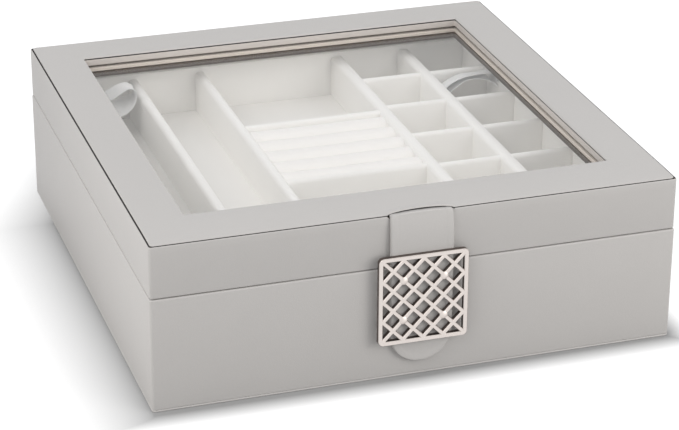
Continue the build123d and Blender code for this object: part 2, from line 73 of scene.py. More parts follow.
# Leatherette case
case_skin = 1.0 * mm
base_fold = 0.8 * mm
lid_fold = 0.7 * mm
lid_turn_in = 0.3 * mm
foot_fold = 0.5 * mm
fold_round = 0.3 * mm
groove_round = 0.15 * mm
corner_radius = 1.6 * mm
rim_round = 0.45 * mm
foot_round = 0.45 * mm
foot_reach = 20 * mm
corner_spread = 0.8 * mm
hairline_gap = 0.1 * mm

# Lid cover and window
cover_thickness = 0.9 * mm
cover_edge_round = 0.6 * mm
rim_drop = 0.42 * mm
rim_drop_front = 0.62 * mm
rim_drop_start = 6.0 * mm
rim_drop_run = 5.0 * mm
rim_straight = 5.0 * mm
cover_inner_roll = 0.8 * mm
cover_crown = 0.18 * mm
cover_front_drop = 0.6 * mm
cover_front_drop_reach = 7.5 * mm
cover_bulge = 1.7 * mm
cover_bulge_reach = 5.0 * mm
cover_tuck = 9.0 * mm
seam_shade_depth = 0.45 * mm
seam_shade_overlap = 0.3 * mm
window_corner = 0.8 * mm
pane_hidden = 4.0 * mm
lining_step = 0.1 * mm
lining_drop = 0.5 * mm
rail_step = 0.6 * mm
rail_gap = 0.05 * mm
rail_reach = 19.8 * mm
rail_edge_round = 0.45 * mm
pane_rebate = (4.3 * mm, 1.1 * mm)
trim_lip = (3.0 * mm, 2.6 * mm)
trim_depth = 1.5 * mm
# Depth into the window's bands from which their faces take painted shade.
rail_shade_depth = 8 * mm

# Distances in mm from the cover's edge where it has a ring of points, and shares of the front
# run, from its middle out, where the cover and the rim have more points for the strap.
cover_rings = (1.2, 2.0, 3.2, 4.8, 6.6, 8.6, 10.6, 13.0, 16.0, 19.0)
strap_shares = (0.011, 0.022, 0.033, 0.046, 0.052, 0.0565, 0.059, 0.061, 0.0628, 0.0638, 0.066)
rim_shares = (0.0585, 0.0605, 0.0625, 0.065)

# Strap
strap_half_width = 16.0 * mm
strap_edge_round = 0.75 * mm
strap_hem = 3.6 * mm
strap_hem_step = 0.16 * mm
strap_tongue_thickness = 1.0 * mm
strap_bend_radius = 0.9 * mm
strap_lean = 1.9 * mm
strap_lean_height = 14.0 * mm
strap_hem_run = 0.5 * mm
strap_crease = 0.1 * mm
strap_crease_width = 0.35 * mm
strap_tip_half = 0.4 * mm
strap_arch_margin = 0.9 * mm
strap_gap = 0.15 * mm
slot_depth = 1.7 * mm
slot_ease = 1.2 * mm
slot_reach = 3 * mm
groove_width = 0.65 * mm

# Velvet tray
velvet_bulge = 0.12 * mm
velvet_unevenness = 0.03 * mm
velvet_wave = 9 * mm
floor_unevenness = 0.06 * mm
floor_wave = 17 * mm
cross_end_reach = 0.28 * mm
cross_spread = 0.6 * mm
left_divider_spread = 0.5 * mm
right_divider_spread = 1.3 * mm
board_end_round = 0.7 * mm
wall_fill_out = 0.25 * mm
wall_rise = 2.0 * mm
wall_top_round = 0.8 * mm
divider_top_round = 2.1 * mm
cross_top_round = 2.0 * mm
cross_divider = 2.8 * mm
crosses_per_column = 5
ring_roll_count = 5
ring_roll_gap = 0.3 * mm
ring_roll_overlap = 0.02 * mm
ring_roll_unevenness = 0.14 * mm
ring_roll_wave = 14 * mm
ring_roll_end = 1.8 * mm
ring_roll_end_drop = 1.3 * mm
lower_divider = 3.0 * mm
side_ledge = 4.0 * mm
end_ledge = 3.0 * mm
base_liner = 2.2 * mm
lid_band = 1.0 * mm
lid_band_rise = 2.5 * mm
lid_band_round = 0.45 * mm
liner_corner = 0.4 * mm
liner_outer_round = 0.3 * mm
liner_inner_round = 0.35 * mm

# Ribbons. Each point of a path, in mm and shares: reach from the wall, height over the
# table, and how far the width's direction leans in x and in z.
ribbon_width = 14.0 * mm
ribbon_thickness = 0.22 * mm
ribbon_curl = 0.5 * mm
left_ribbon_path = (
    (0.3, 61.5, 0, 0), (4, 64.5, 0, 0), (14, 65.8, 0, 0), (21.9, 67.7, 0, 0),
    (27.5, 70.7, 0.05, 0), (32.3, 72.2, 0.08, -0.1), (35.4, 70.6, 0.1, -0.17),
    (36.3, 67.6, 0.1, -0.16), (35.0, 64.8, 0.05, 0.02), (31.2, 62.1, -0.05, 0.27),
    (26.5, 60.1, -0.1, 0.36), (14, 56.8, 0, 0.26), (3.5, 53.6, 0, 0), (0.3, 50.5, 0, 0),
)
right_ribbon_path = (
    (0.3, 62.5, 0, 0), (2, 66.1, 0, -0.17), (6, 66.9, 0, -0.22), (10, 66.6, 0, -0.29),
    (15.4, 66.4, 0, -0.26), (19.5, 66.1, 0, -0.27), (22.7, 65.2, 0, -0.29),
    (26, 63.9, 0, -0.31), (28.8, 62.3, 0, -0.34), (31.8, 59.8, 0, -0.3),
    (33.2, 57.2, 0, -0.25), (32.2, 55.4, 0, -0.2), (30.4, 56.2, 0, -0.15),
    (27.8, 59.0, 0, -0.1), (24.1, 61.7, 0, -0.1), (20.7, 63.7, 0, -0.1),
    (16.9, 64.6, 0, -0.1), (11, 64.2, 0, -0.1), (5, 63.0, 0, 0), (2, 61.0, 0, 0),
    (0.3, 58.5, 0, 0),
)

# Hardware
rivet_radius = 2.0 * mm
rivet_crown = 0.6 * mm
rivet_shank = 0.85 * mm
screw_face = 0.7 * mm
screw_shoulder = (1.2 * mm, 0.05 * mm)
screw_head = (1.42 * mm, 0.12 * mm)
screw_shank = (0.8 * mm, 0.72 * mm)
screw_inset = 6.0 * mm
screw_slot = 0.35 * mm
screw_slot_depth = 0.3 * mm
screw_slot_reach = 2.0 * mm
slot_overrun = 0.2 * mm

# Stage, lamps and camera
floor_size = 6.0
floor_tone = 0.38
floor_lift = 0.8
# Reach and fall of the painted shadow on the floor, beside the box's left side and before its
# front.
shade_left = 47 * mm
shade_front = 14.3 * mm
shade_front_start = 3.2 * mm
shade_slant = 0.015
shade_fall = 0.6
world_strength = 0.77
world_tint = (0.96, 0.975, 1, 1)
lamp_tone = (1, 0.97, 0.935)
lamps = (
    ("key", (-1.20, -0.60, 1.40), (0, 0, 0), 1.0, 7.5),
    ("front_high", (0.80, -1.30, 1.10), (0, 0, 0), 0.8, 3.0),
    ("fill_left", (-0.42, -0.13, 0.06), (-0.13, -0.13, 0.05), 0.2, 0.32),
    ("fill_right", (0.62, -0.78, 0.25), (0.12, -0.13, 0.05), 0.5, 2.2),
)
camera_place = (-0.36649, -1.13299, 0.56912)
camera_azimuth = math.radians(18.082)
camera_elevation = math.radians(24.529)
camera_roll = math.radians(0.275)
image_width = 679
focal_pixels = 2459.5


# Shader building

class Signal:
    """A shader socket that takes part in arithmetic."""

    def __init__(self, shader, socket):
        self.shader = shader
        self.socket = socket

    def maths(self, operation, *values):
        inputs = {place: value for place, value in enumerate(values)}
        return self.shader.add("Math", {"operation": operation}, inputs)

    def __add__(self, other):
        return self.maths("ADD", self, other)

    def __radd__(self, other):
        return self.maths("ADD", other, self)

    def __sub__(self, other):
        return self.maths("SUBTRACT", self, other)

    def __rsub__(self, other):
        return self.maths("SUBTRACT", other, self)

    def __mul__(self, other):
        return self.maths("MULTIPLY", self, other)

    def __rmul__(self, other):
        return self.maths("MULTIPLY", other, self)

    def __pow__(self, other):
        return self.maths("POWER", self, other)


class Shader:
    """One material, or the world, and the nodes that make its finish."""

    def __init__(self, name, kind="Material"):
        owners = bpy.data.worlds if kind == "World" else bpy.data.materials
        self.kind = kind
        self.owner = owners.new(name)
        self.owner.use_nodes = True
        self.tree = self.owner.node_tree
        self.tree.nodes.clear()

    def add(self, kind, settings=None, inputs=None, output=0):
        """Adds a node: its settings first, then the values or links of its sockets."""
        node = self.tree.nodes.new("ShaderNode" + kind)
        for key, value in (settings or {}).items():
            if key == "stops":
                self.set_stops(node.color_ramp, value)
            else:
                setattr(node, key, value)
        for key, value in (inputs or {}).items():
            if isinstance(value, Signal):
                self.tree.links.new(value.socket, node.inputs[key])
            else:
                node.inputs[key].default_value = value
        return Signal(self, node.outputs[output])

    def set_stops(self, ramp, stops):
        while len(ramp.elements) < len(stops):
            ramp.elements.new(1)
        for element, (place, shade) in zip(ramp.elements, stops):
            element.position = place
            element.color = (shade, shade, shade, 1)

    def place(self):
        return self.add("TexCoord", output="Object")

    def part(self, vector, axis):
        return self.add("SeparateXYZ", {}, {0: vector}, axis)

    def noise(self, scale, detail=2, roughness=0.5, vector=None):
        inputs = {
            "Vector": vector or self.place(), "Scale": scale, "Detail": detail,
            "Roughness": roughness,
        }
        return self.add("TexNoise", {"noise_dimensions": "3D"}, inputs, "Fac")

    def ramp(self, value, low, high, low_shade=0, high_shade=1):
        stops = [(low, low_shade), (high, high_shade)]
        return self.add("ValToRGB", {"stops": stops}, {"Fac": value})

    def blend(self, factor, first, second):
        """Mixes two colours."""
        settings = {"data_type": "RGBA", "blend_type": "MIX"}
        return self.add("Mix", settings, {0: factor, 6: first, 7: second}, 2)

    def bump(self, height, strength, distance, normal=None):
        inputs = {"Height": height, "Strength": strength, "Distance": distance}
        if normal:
            inputs["Normal"] = normal
        return self.add("Bump", {}, inputs)

    def finish(self, surface):
        output = self.tree.nodes.new("ShaderNodeOutput" + self.kind)
        self.tree.links.new(surface.socket, output.inputs["Surface"])
        return self.owner


def colour(red, green, blue):
    """A colour written as the values seen on a screen, in 0 to 255."""
    def linear(value):
        share = value / 255
        return share / 12.92 if share <= 0.04045 else ((share + 0.055) / 1.055) ** 2.4
    return (linear(red), linear(green), linear(blue), 1)


def shaded(tone, share):
    """A tone darkened to a share of itself."""
    return tuple(share * value for value in tone[:3]) + (1,)


def leatherette(name, tone, grain=0.75 * mm, relief=0.035 * mm, roughness=0.44):
    """Coated cloth: small pebbled grain with painted shade in its creases, faint mottling and a
    soft shine.
    """
    shader = Shader(name)
    place = shader.place()
    wander = shader.add(
        "TexNoise", {}, {"Vector": place, "Scale": 0.5 / grain, "Detail": 2}, "Color"
    )
    bent = shader.add(
        "VectorMath", {"operation": "MULTIPLY_ADD"},
        {0: wander, 1: (0.6 * grain,) * 3, 2: place}
    )
    cell = shader.add(
        "TexVoronoi", {"feature": "DISTANCE_TO_EDGE"}, {"Vector": bent, "Scale": 1 / grain},
        "Distance"
    )
    pebble = shader.ramp(cell, 0.0, 0.22)
    fine = shader.noise(4 / grain, 3)
    slow = shader.noise(16, 2)
    patch = shader.noise(70, 3)
    mottled = shader.blend(0.55 * slow + 0.45 * patch, shaded(tone, 0.93), tone)
    # The grain's creases, where its cells meet, are painted darker as shade.
    coloured = shader.blend(0.72 + 0.28 * pebble, shaded(tone, 0.86), mottled)
    shine = roughness + 0.1 * patch - 0.05 * pebble
    height = 0.8 * pebble + 0.2 * fine
    normal = shader.bump(height, 0.55, relief)
    surface = shader.add("BsdfPrincipled", {}, {
        "Base Color": coloured, "Roughness": shine, "Normal": normal,
        "Specular IOR Level": 0.33, "Sheen Weight": 0.02, "Sheen Roughness": 0.5,
    })
    return shader.finish(surface)


def velvet(name, tone, relief=0.09 * mm):
    """Short pile: fine speckle, brushed patches and a pale sheen."""
    shader = Shader(name)
    pile = shader.noise(2600, 2, 0.7)
    clump = shader.noise(620, 2)
    brushed = shader.noise(38, 3, 0.6)
    coloured = shader.blend(
        0.25 * pile + 0.25 * clump + 0.5 * brushed, shaded(tone, 0.9), tone
    )
    normal = shader.bump(0.6 * pile + 0.4 * clump, 0.5, relief)
    surface = shader.add("BsdfPrincipled", {}, {
        "Base Color": coloured, "Roughness": 0.86 + 0.1 * brushed, "Normal": normal,
        "Specular IOR Level": 0.15, "Sheen Weight": 0.35, "Sheen Roughness": 0.45,
        "Sheen Tint": (1, 1, 1, 1),
    })
    return shader.finish(surface)


def satin(name, tone, rib_pitch=0.45 * mm):
    """Woven ribbon: fine ribs across, a selvedge at each side and a soft gleam."""
    shader = Shader(name)
    uv = shader.add("UVMap")
    across = shader.part(uv, "X") - 0.5
    along = shader.part(uv, "Y") * (2 * math.pi / rib_pitch)
    rib = along.maths("SINE", along)
    selvedge = shader.ramp(across.maths("ABSOLUTE", across), 0.44, 0.47)
    slub = shader.noise(240, 2)
    coloured = shader.blend(0.4 + 0.25 * rib + 0.35 * slub, shaded(tone, 0.98), tone)
    normal = shader.bump(0.4 * rib + 0.8 * selvedge, 0.4, 0.06 * mm)
    surface = shader.add("BsdfPrincipled", {}, {
        "Base Color": coloured, "Roughness": 0.34 + 0.12 * slub, "Normal": normal,
        "Specular IOR Level": 0.6, "Sheen Weight": 0.8, "Sheen Roughness": 0.5,
        "Coat Weight": 0.3, "Coat Roughness": 0.2, "Coat IOR": 1.5,
    })
    through = shader.add("BsdfTranslucent", {}, {"Color": tone})
    surface = shader.add("MixShader", {}, {0: 0.06, 1: surface, 2: through})
    return shader.finish(surface)


def plated(name, tone, roughness, side_shade=(1.0, 1.0, 1.0)):
    """Polished plate with faint haze and hairline marks, its side faces painted darker as shade and
    made rougher.
    """
    shader = Shader(name)
    place = shader.place()
    stretched = shader.add("Mapping", {}, {"Vector": place, "Scale": (900, 900, 5200)})
    hairline = shader.noise(1, 2, 0.6, stretched)
    haze = shader.noise(180, 2)
    coloured = shader.blend(0.5 + 0.5 * haze, shaded(tone, 0.9), tone)
    outward = shader.part(shader.add("TexCoord", output="Normal"), "Y")
    front_facing = shader.ramp(outward * -1, 0.35, 0.75)
    # Faces that turn away from the front take painted shade: the tone times side_shade.
    sides = tuple(share * value for share, value in zip(side_shade, tone[:3])) + (1,)
    coloured = shader.blend(front_facing, sides, coloured)
    surface = shader.add("BsdfPrincipled", {}, {
        "Base Color": coloured, "Metallic": 1.0,
        "Roughness": roughness + 0.08 * haze + 0.05 * hairline + 0.25 * (1 - front_facing),
        "Normal": shader.bump(hairline, 0.08, 0.02 * mm),
    })
    return shader.finish(surface)


def fibreboard(name, tone):
    """Raw pressed board with loose fibres."""
    shader = Shader(name)
    fibre = shader.noise(420, 4, 0.7)
    fleck = shader.noise(1500, 2)
    surface = shader.add("BsdfPrincipled", {}, {
        "Base Color": shader.blend(0.3 * fleck + 0.7 * fibre, shaded(tone, 0.62), tone),
        "Roughness": 0.8 + 0.15 * fleck, "Normal": shader.bump(fibre, 0.4, 0.12 * mm),
        "Specular IOR Level": 0.2,
    })
    return shader.finish(surface)


def cast_magnet(name, tone):
    """Sintered magnet, plated and slightly rough."""
    shader = Shader(name)
    speck = shader.noise(1800, 2)
    surface = shader.add("BsdfPrincipled", {}, {
        "Base Color": shader.blend(speck, shaded(tone, 0.8), tone),
        "Metallic": 0.9, "Roughness": 0.35 + 0.2 * speck,
    })
    return shader.finish(surface)


def clear_pane(name):
    """Clear sheet: light passes straight through and the surface mirrors at a slant."""
    shader = Shader(name)
    smear = shader.noise(22, 3)
    clear = shader.add("BsdfTransparent", {}, {"Color": (1, 1, 1, 1)})
    mirror = shader.add("BsdfPrincipled", {}, {
        "Base Color": (0.92, 0.92, 0.92, 1), "Metallic": 1.0, "Roughness": 0.02 + 0.05 * smear,
    })
    slant = shader.add("LayerWeight", {}, {"Blend": 0.5}, "Facing")
    surface = shader.add("MixShader", {}, {0: 0.02 + 0.65 * slant ** 5, 1: clear, 2: mirror})
    return shader.finish(surface)


clasp_tone = colour(213, 205, 200)
finishes = {
    "leatherette": leatherette("leatherette_grey", colour(199, 196, 193)),
    "frame_lining": leatherette("leatherette_lining", colour(206, 199, 193), 0.6 * mm, 0.02 * mm),
    "tan_rail": leatherette("rail_tan", colour(238, 228, 217), 0.6 * mm, 0.02 * mm, 0.4),
    "brown_rail": leatherette("rail_brown", colour(72, 60, 50), 0.6 * mm, 0.02 * mm, 0.36),
    "velvet": velvet("velvet_white", colour(251, 249, 245)),
    "roll_velvet": velvet("velvet_roll", colour(252, 249, 245)),
    "satin": satin("ribbon_satin", colour(254, 254, 253)),
    "nickel": plated("plate_nickel", colour(222, 214, 209), 0.2),
    # The clasp's side faces are painted dark as shade.
    "clasp_nickel": plated("plate_nickel_clasp", clasp_tone, 0.2, (0.27, 0.245, 0.235)),
    "rivet_nickel": plated("plate_nickel_rivet", clasp_tone, 0.42),
    "core_board": fibreboard("core_fibreboard", colour(176, 152, 122)),
    "magnet_steel": cast_magnet("magnet_plated", colour(176, 176, 178)),
    "clear_pane": clear_pane("pane_clear"),
    # Near-black finish that paints shade: the groove round the cover, the cover's hidden edges and
    # the deep faces of the window's bands.
    "seam_painted_shade": leatherette("seam_backing", colour(30, 26, 24), 0.5 * mm, 0.02 * mm, 0.7),
}


# Mesh building

def add_mesh(name, points, faces, sharp=38, slots=None):
    """Makes a mesh object, its normals outwards and its shading smooth but for sharp edges."""
    mesh = bpy.data.meshes.new(name)
    mesh.from_pydata([tuple(point) for point in points], [], faces)
    if slots is not None:
        mesh.polygons.foreach_set("material_index", slots)
    shape = bmesh.new()
    shape.from_mesh(mesh)
    bmesh.ops.remove_doubles(shape, verts=shape.verts, dist=weld_distance)
    bmesh.ops.recalc_face_normals(shape, faces=shape.faces)
    shape.to_mesh(mesh)
    shape.free()
    mesh.polygons.foreach_set("use_smooth", [True] * len(mesh.polygons))
    mesh.set_sharp_from_angle(angle=math.radians(sharp))
    piece = bpy.data.objects.new(name, mesh)
    bpy.context.scene.collection.objects.link(piece)
    return piece


def wear(piece, *names):
    """Gives a piece its finishes, in the order that its faces count them."""
    for name in names:
        piece.data.materials.append(finishes[name])


def dress(piece, slot, body, *nodes, finish=None):
    """Gives a piece its finish if it has none yet, and its body, and hides the nodes that it stands
    for.
    """
    if not piece.data.materials:
        wear(piece, finish or slot)
    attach(piece, body)
    if nodes:
        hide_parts(*nodes)
    return piece


def soften(corners, steps=4):
    """Rounds the corners of a closed outline given as (u, v, radius)."""
    outline = []
    count = len(corners)
    for index, (u, v, radius) in enumerate(corners):
        here = Vector((u, v))
        if radius <= 0:
            outline.append((u, v))
            continue
        before = (Vector(corners[index - 1][:2]) - here).normalized()
        after = (Vector(corners[(index + 1) % count][:2]) - here).normalized()
        half = before.angle(after) / 2
        reach = radius / math.tan(half)
        centre = here + (before + after).normalized() * (radius / math.sin(half))
        start = here + before * reach - centre
        end = here + after * reach - centre
        sweep = math.atan2(start.x * end.y - start.y * end.x, start.dot(end))
        for step in range(steps + 1):
            turn = Matrix.Rotation(sweep * step / steps, 2)
            outline.append(tuple(centre + turn @ start))
    return outline


def corner_loop(half_x, front, back, radius, across, along, arc=5):
    """Points round a rectangle with rounded corners. Across and along are shares of each run."""
    radius = max(radius, least_corner)
    corners = (
        (half_x - radius, back - radius, 0), (radius - half_x, back - radius, 90),
        (radius - half_x, front + radius, 180), (half_x - radius, front + radius, 270),
    )
    points = []
    for index, (x, y, start) in enumerate(corners):
        for step in range(arc + 1):
            turn = math.radians(start + 90 * step / arc)
            points.append((x + radius * math.cos(turn), y + radius * math.sin(turn)))
        next_x, next_y, next_start = corners[(index + 1) % 4]
        turn = math.radians(next_start)
        first = points[-1]
        last = (next_x + radius * math.cos(turn), next_y + radius * math.sin(turn))
        shares = across if index % 2 == 0 else along
        for share in shares:
            points.append(tuple(a + (b - a) * share for a, b in zip(first, last)))
    return np.array(points)


def even_shares(count):
    return [index / count for index in range(1, count)]


def shares_with(extra):
    """Even shares of a run, and more of them on both sides of its middle."""
    extra = [0.5 + side * share for side in (-1, 1) for share in extra]
    return sorted(even_shares(run_steps) + extra)


def clamp(value):
    return min(1, max(0, value))


def ease(value):
    """From 0 to 1, starting and ending gently."""
    share = clamp(value)
    return share * share * (3 - 2 * share)


def ring_faces(rows, columns, close_rows=True):
    """Quads between rows of points that each close on themselves."""
    faces = []
    for row in range(rows if close_rows else rows - 1):
        for column in range(columns):
            after = (column + 1) % columns
            above = (row + 1) % rows
            faces.append((
                row * columns + column, row * columns + after,
                above * columns + after, above * columns + column,
            ))
    return faces


def tube_faces(rows, columns, first_cap=True):
    """Quads along rings of points, with a cap on the last ring and, if asked, on the first."""
    faces = ring_faces(rows, columns, close_rows=False)
    if first_cap:
        faces.append(tuple(range(columns)))
    last = (rows - 1) * columns
    faces.append(tuple(range(last, last + columns)))
    return faces


def grid_faces(rows, wide):
    """Quads over rows of points."""
    faces = []
    for row in range(rows - 1):
        for column in range(wide - 1):
            first = row * wide + column
            faces.append((first, first + 1, first + wide + 1, first + wide))
    return faces


def grid_rim(rows, wide):
    """The points round the edge of a grid, in order."""
    last = (rows - 1) * wide
    rim = list(range(wide))
    rim += [row * wide + wide - 1 for row in range(1, rows)]
    rim += [last + column for column in range(wide - 2, -1, -1)]
    rim += [row * wide for row in range(rows - 2, 0, -1)]
    return rim


def band_faces(rows, wide):
    """Faces of a thin band: a grid of points, the same grid behind it and the rim between."""
    offset = rows * wide
    faces = []
    for quad in grid_faces(rows, wide):
        faces.append(quad)
        faces.append(tuple(offset + corner for corner in reversed(quad)))
    rim = grid_rim(rows, wide)
    for here, after in zip(rim, rim[1:] + rim[:1]):
        faces.append((after, here, offset + here, offset + after))
    return faces


def swept_rows(rectangle, outline, across, along):
    """A ring of points round a rounded rectangle for each (outward, height) of an outline."""
    half_x, front, back, radius = rectangle
    rows = []
    for outward, height in outline:
        loop = corner_loop(
            half_x + outward, front - outward, back + outward,
            radius + min(outward, corner_spread), across, along
        )
        rows.append(np.column_stack([loop, np.full(len(loop), height)]))
    return rows


def swept_ring(name, rectangle, outline, shift=None, across=None, slots=None):
    """Sweeps a closed outline of (outward, height) round a rounded rectangle."""
    along = even_shares(run_steps)
    rows = swept_rows(rectangle, outline, across or along, along)
    points = np.concatenate(rows)
    if shift:
        points = shift(points)
    columns = len(rows[0])
    faces = ring_faces(len(rows), columns)
    face_slots = None
    if slots is not None:
        face_slots = [slots[face // columns] for face in range(len(faces))]
    return add_mesh(name, points, faces, slots=face_slots)


def ripple(points, amount, wavelength, seed):
    """Moves points a little, the same way each time, for a soft hand made surface."""
    offset = Vector((seed, 2.7 * seed, 5.1 * seed))
    moved = []
    for point in points:
        push = noise.noise_vector(Vector(point) / wavelength + offset)
        moved.append(Vector(point) + push * amount)
    return np.array([tuple(point) for point in moved])


# Case skins

base_low, base_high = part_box("base_wrap")
lid_low, lid_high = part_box("lid_wrap")


def lower_rim_under_strap(points):
    """Sets the rim's height, lower in front, and lets the strap lie in it."""
    top = lid_high.z - slot_depth
    for point in points:
        if point[2] > lid_high.z - 2 * case_skin:
            forward = clamp((lid_low.y + rim_drop_start - point[1]) / rim_drop_run)
            point[2] -= rim_drop + (rim_drop_front - rim_drop) * forward
        if point[1] > lid_low.y + slot_reach or point[2] < top:
            continue
        side = abs(point[0]) - strap_half_width
        point[2] += (top - point[2]) * ease(1 - side / slot_ease)
    return points


def base_skin():
    """Leatherette round the base, folded in over the top edge."""
    rectangle = (base_high.x, base_low.y, base_high.y, corner_radius)
    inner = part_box("base_liner_left")[0].x + base_high.x
    outline = soften([
        (0, base_low.z, foot_fold), (0, base_high.z, base_fold), (-inner, base_high.z, fold_round),
        (-inner, base_high.z - case_skin, 0), (-case_skin, base_high.z - case_skin, 0),
        (-case_skin, base_low.z, 0),
    ])
    piece = swept_ring("base_skin", rectangle, outline)
    return dress(piece, "leatherette", "base", "base_wrap")


def base_foot():
    """Covered sheet under the base, rounded at its rim."""
    low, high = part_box("base_bottom_cover")
    rectangle = (high.x, low.y, high.y, corner_radius)
    outline = soften([
        (-foot_reach, low.z, 0), (0, low.z, foot_round), (0, high.z, foot_round),
        (-foot_reach, high.z, 0)
    ])
    rows = swept_rows(rectangle, outline, even_shares(12), even_shares(12))
    faces = tube_faces(len(rows), len(rows[0]))
    piece = add_mesh("base_foot", np.concatenate(rows), faces)
    return dress(piece, "leatherette", "base", "base_bottom_cover")


def lid_skin():
    """Leatherette round the lid, folded under its lower edge and up behind the board."""
    rectangle = (lid_high.x, lid_low.y, lid_high.y, corner_radius)
    liner_low, liner_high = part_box("lid_liner")
    inner = lid_high.x - liner_high.x
    turned = inner + lid_turn_in
    rim = lid_high.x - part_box("lid_top_cover")[1].x - groove_width
    outline = soften([
        (0, lid_low.z, lid_fold), (0, lid_high.z - rim_straight, 0), (0, lid_high.z, rim_round),
        (-rim, lid_high.z, groove_round),
        (-rim, lid_high.z - case_skin, 0), (-case_skin, lid_high.z - 1.2 * case_skin, 0),
        (-case_skin, lid_low.z + case_skin, 0), (-inner, lid_low.z + case_skin, 0),
        (-inner, liner_low.z, 0), (-turned, liner_low.z, 0), (-turned, lid_low.z, fold_round),
    ])
    # Faces on the rim's inner side, in the groove, take painted shade.
    groove = hairline_gap - rim
    slots = [int(u < groove and v > lid_low.z + 2 * case_skin) for u, v in outline]
    piece = swept_ring(
        "lid_skin", rectangle, outline, lower_rim_under_strap, shares_with(rim_shares), slots
    )
    wear(piece, "leatherette", "seam_painted_shade")
    return dress(piece, "leatherette", "lid", "lid_wrap")


# Lid cover and window

def window_rectangle():
    """The window's own edge: the pane's box less the part of it that is hidden."""
    low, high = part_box("window_pane")
    return (high.x - pane_hidden, low.y + pane_hidden, high.y - pane_hidden, window_corner)


def strap_arch(x):
    """Share of the cover's bulge across the strap, an arc from edge to edge."""
    return math.sqrt(max(0, 1 - (x / (strap_half_width + strap_arch_margin)) ** 2))


def cover_swell(x, y):
    """How far the strap raises the cover."""
    behind = 1 - (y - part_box("lid_top_cover")[0].y) / cover_bulge_reach
    return cover_bulge * strap_arch(x) * ease(behind)


def cover_height(x, y, top, front_edge):
    """Height of the cover's top: dropping to the front and raised over the strap."""
    drop = max(0, 1 - (y - front_edge) / cover_front_drop_reach) ** 3 * cover_front_drop
    return top - drop * (1 - strap_arch(x)) + cover_swell(x, y)


def lid_seam():
    """Dark strip in the groove between the cover and the walls: painted shade that deepens the
    groove.
    """
    cover_low, cover_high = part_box("lid_top_cover")
    rectangle = (cover_high.x, cover_low.y, cover_high.y, corner_radius)
    low = cover_low.z - seam_shade_depth
    high = cover_low.z + hairline_gap
    far = groove_width + hairline_gap
    outline = [(-seam_shade_overlap, low), (far, low), (far, high), (-seam_shade_overlap, high)]
    piece = swept_ring("lid_seam", rectangle, outline)
    return dress(piece, "leatherette", "lid", finish="seam_painted_shade")


def lid_cover():
    """Padded cover sheet with a rounded rim, rolled into the window."""
    low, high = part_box("lid_top_cover")
    inner_x, inner_front, inner_back, inner_radius = window_rectangle()
    across = shares_with(strap_shares)
    along = even_shares(run_steps)
    outer = corner_loop(high.x, low.y, high.y, corner_radius, across, along)
    inner = corner_loop(inner_x, inner_front, inner_back, inner_radius, across, along)
    widths = np.linalg.norm(outer - inner, axis=1)
    columns = len(outer)
    rows = []

    def row(distance, drop, from_inner=False):
        """One ring of points, a distance in from an edge, lowered from the crowned top."""
        share = distance / widths
        if from_inner:
            share = 1 - share
        flat = outer + (inner - outer) * share[:, None]
        heights = []
        for (x, y), part in zip(flat, share):
            crown = cover_crown * math.sin(math.pi * clamp(part))
            heights.append(cover_height(x, y, high.z, low.y) + crown - drop)
        rows.append(np.column_stack([flat, heights]))

    row(0.0, cover_thickness)
    steps = 4
    for step in range(steps + 1):
        turn = math.pi / 2 * step / steps
        row(cover_edge_round * (1 - math.cos(turn)), cover_edge_round * (1 - math.sin(turn)))
    for distance in cover_rings:
        row(distance * mm, 0)
    for step in range(steps + 1):
        turn = math.pi / 2 * step / steps
        distance = cover_inner_roll * (1 - math.sin(turn))
        row(distance, cover_inner_roll * (1 - math.cos(turn)), from_inner=True)
    row(0.0, cover_thickness + hairline_gap, from_inner=True)
    row(cover_tuck, cover_thickness, from_inner=True)
    row(cover_bulge_reach, cover_thickness)
    faces = ring_faces(len(rows), columns)
    # The cover's outer side, its underside and its edge tucked under the window take painted shade.
    painted_shade_rows = {0} | set(range(len(rows) - 4, len(rows)))
    slots = [int(face // columns in painted_shade_rows) for face in range(len(faces))]
    piece = add_mesh("lid_cover", np.concatenate(rows), faces, sharp=50, slots=slots)
    wear(piece, "leatherette", "seam_painted_shade")
    return dress(piece, "leatherette", "lid", "lid_top_cover")


def window_ring(
    name, slot, low, high, step_in, *nodes, rebate=None, lip=None, deep=rail_shade_depth,
    behind="seam_painted_shade"
):
    """One band round the window, its inner edges rounded; from a depth on its faces take the finish
    behind, painted shade unless another is given.
    """
    under = [(rail_reach, low, 0)]
    if lip:
        depth, rise = lip
        under = [(rail_reach, low + rise, 0), (depth, low + rise, 0), (depth, low, 0)]
    top = [(rail_reach, high, 0)]
    if rebate:
        depth, rise = rebate
        top = [(depth, high, 0), (depth, high + rise, 0), (rail_reach, high + rise, 0)]
    inner = [(-step_in, low, rail_edge_round), (-step_in, high, rail_edge_round)]
    outline = soften(under + inner + top)
    reaches = [outward for outward, height in outline]
    slots = [int(max(pair) > deep) for pair in zip(reaches, reaches[1:] + reaches[:1])]
    piece = swept_ring(name, window_rectangle(), outline, slots=slots)
    wear(piece, slot, behind)
    return dress(piece, slot, "lid", *nodes)


def window_rings():
    """Lining of the window's edge, then the tan and the brown rail below the pane."""
    frame_low, frame_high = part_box("window_frame")
    rail_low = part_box("pane_retainer")[0]
    trim_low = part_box("window_trim")[0]
    pane_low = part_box("window_pane")[0]
    window_ring(
        "window_lining", "frame_lining", frame_low.z + rail_gap, frame_high.z - lining_drop,
        lining_step, "window_frame"
    )
    window_ring(
        "window_tan_rail", "tan_rail", rail_low.z + rail_gap, pane_low.z - rail_gap, rail_step,
        "pane_retainer", rebate=pane_rebate
    )
    window_ring(
        "window_brown_rail", "brown_rail", trim_low.z, rail_low.z - rail_gap, rail_step,
        "window_trim", lip=trim_lip, deep=trim_depth, behind="velvet"
    )


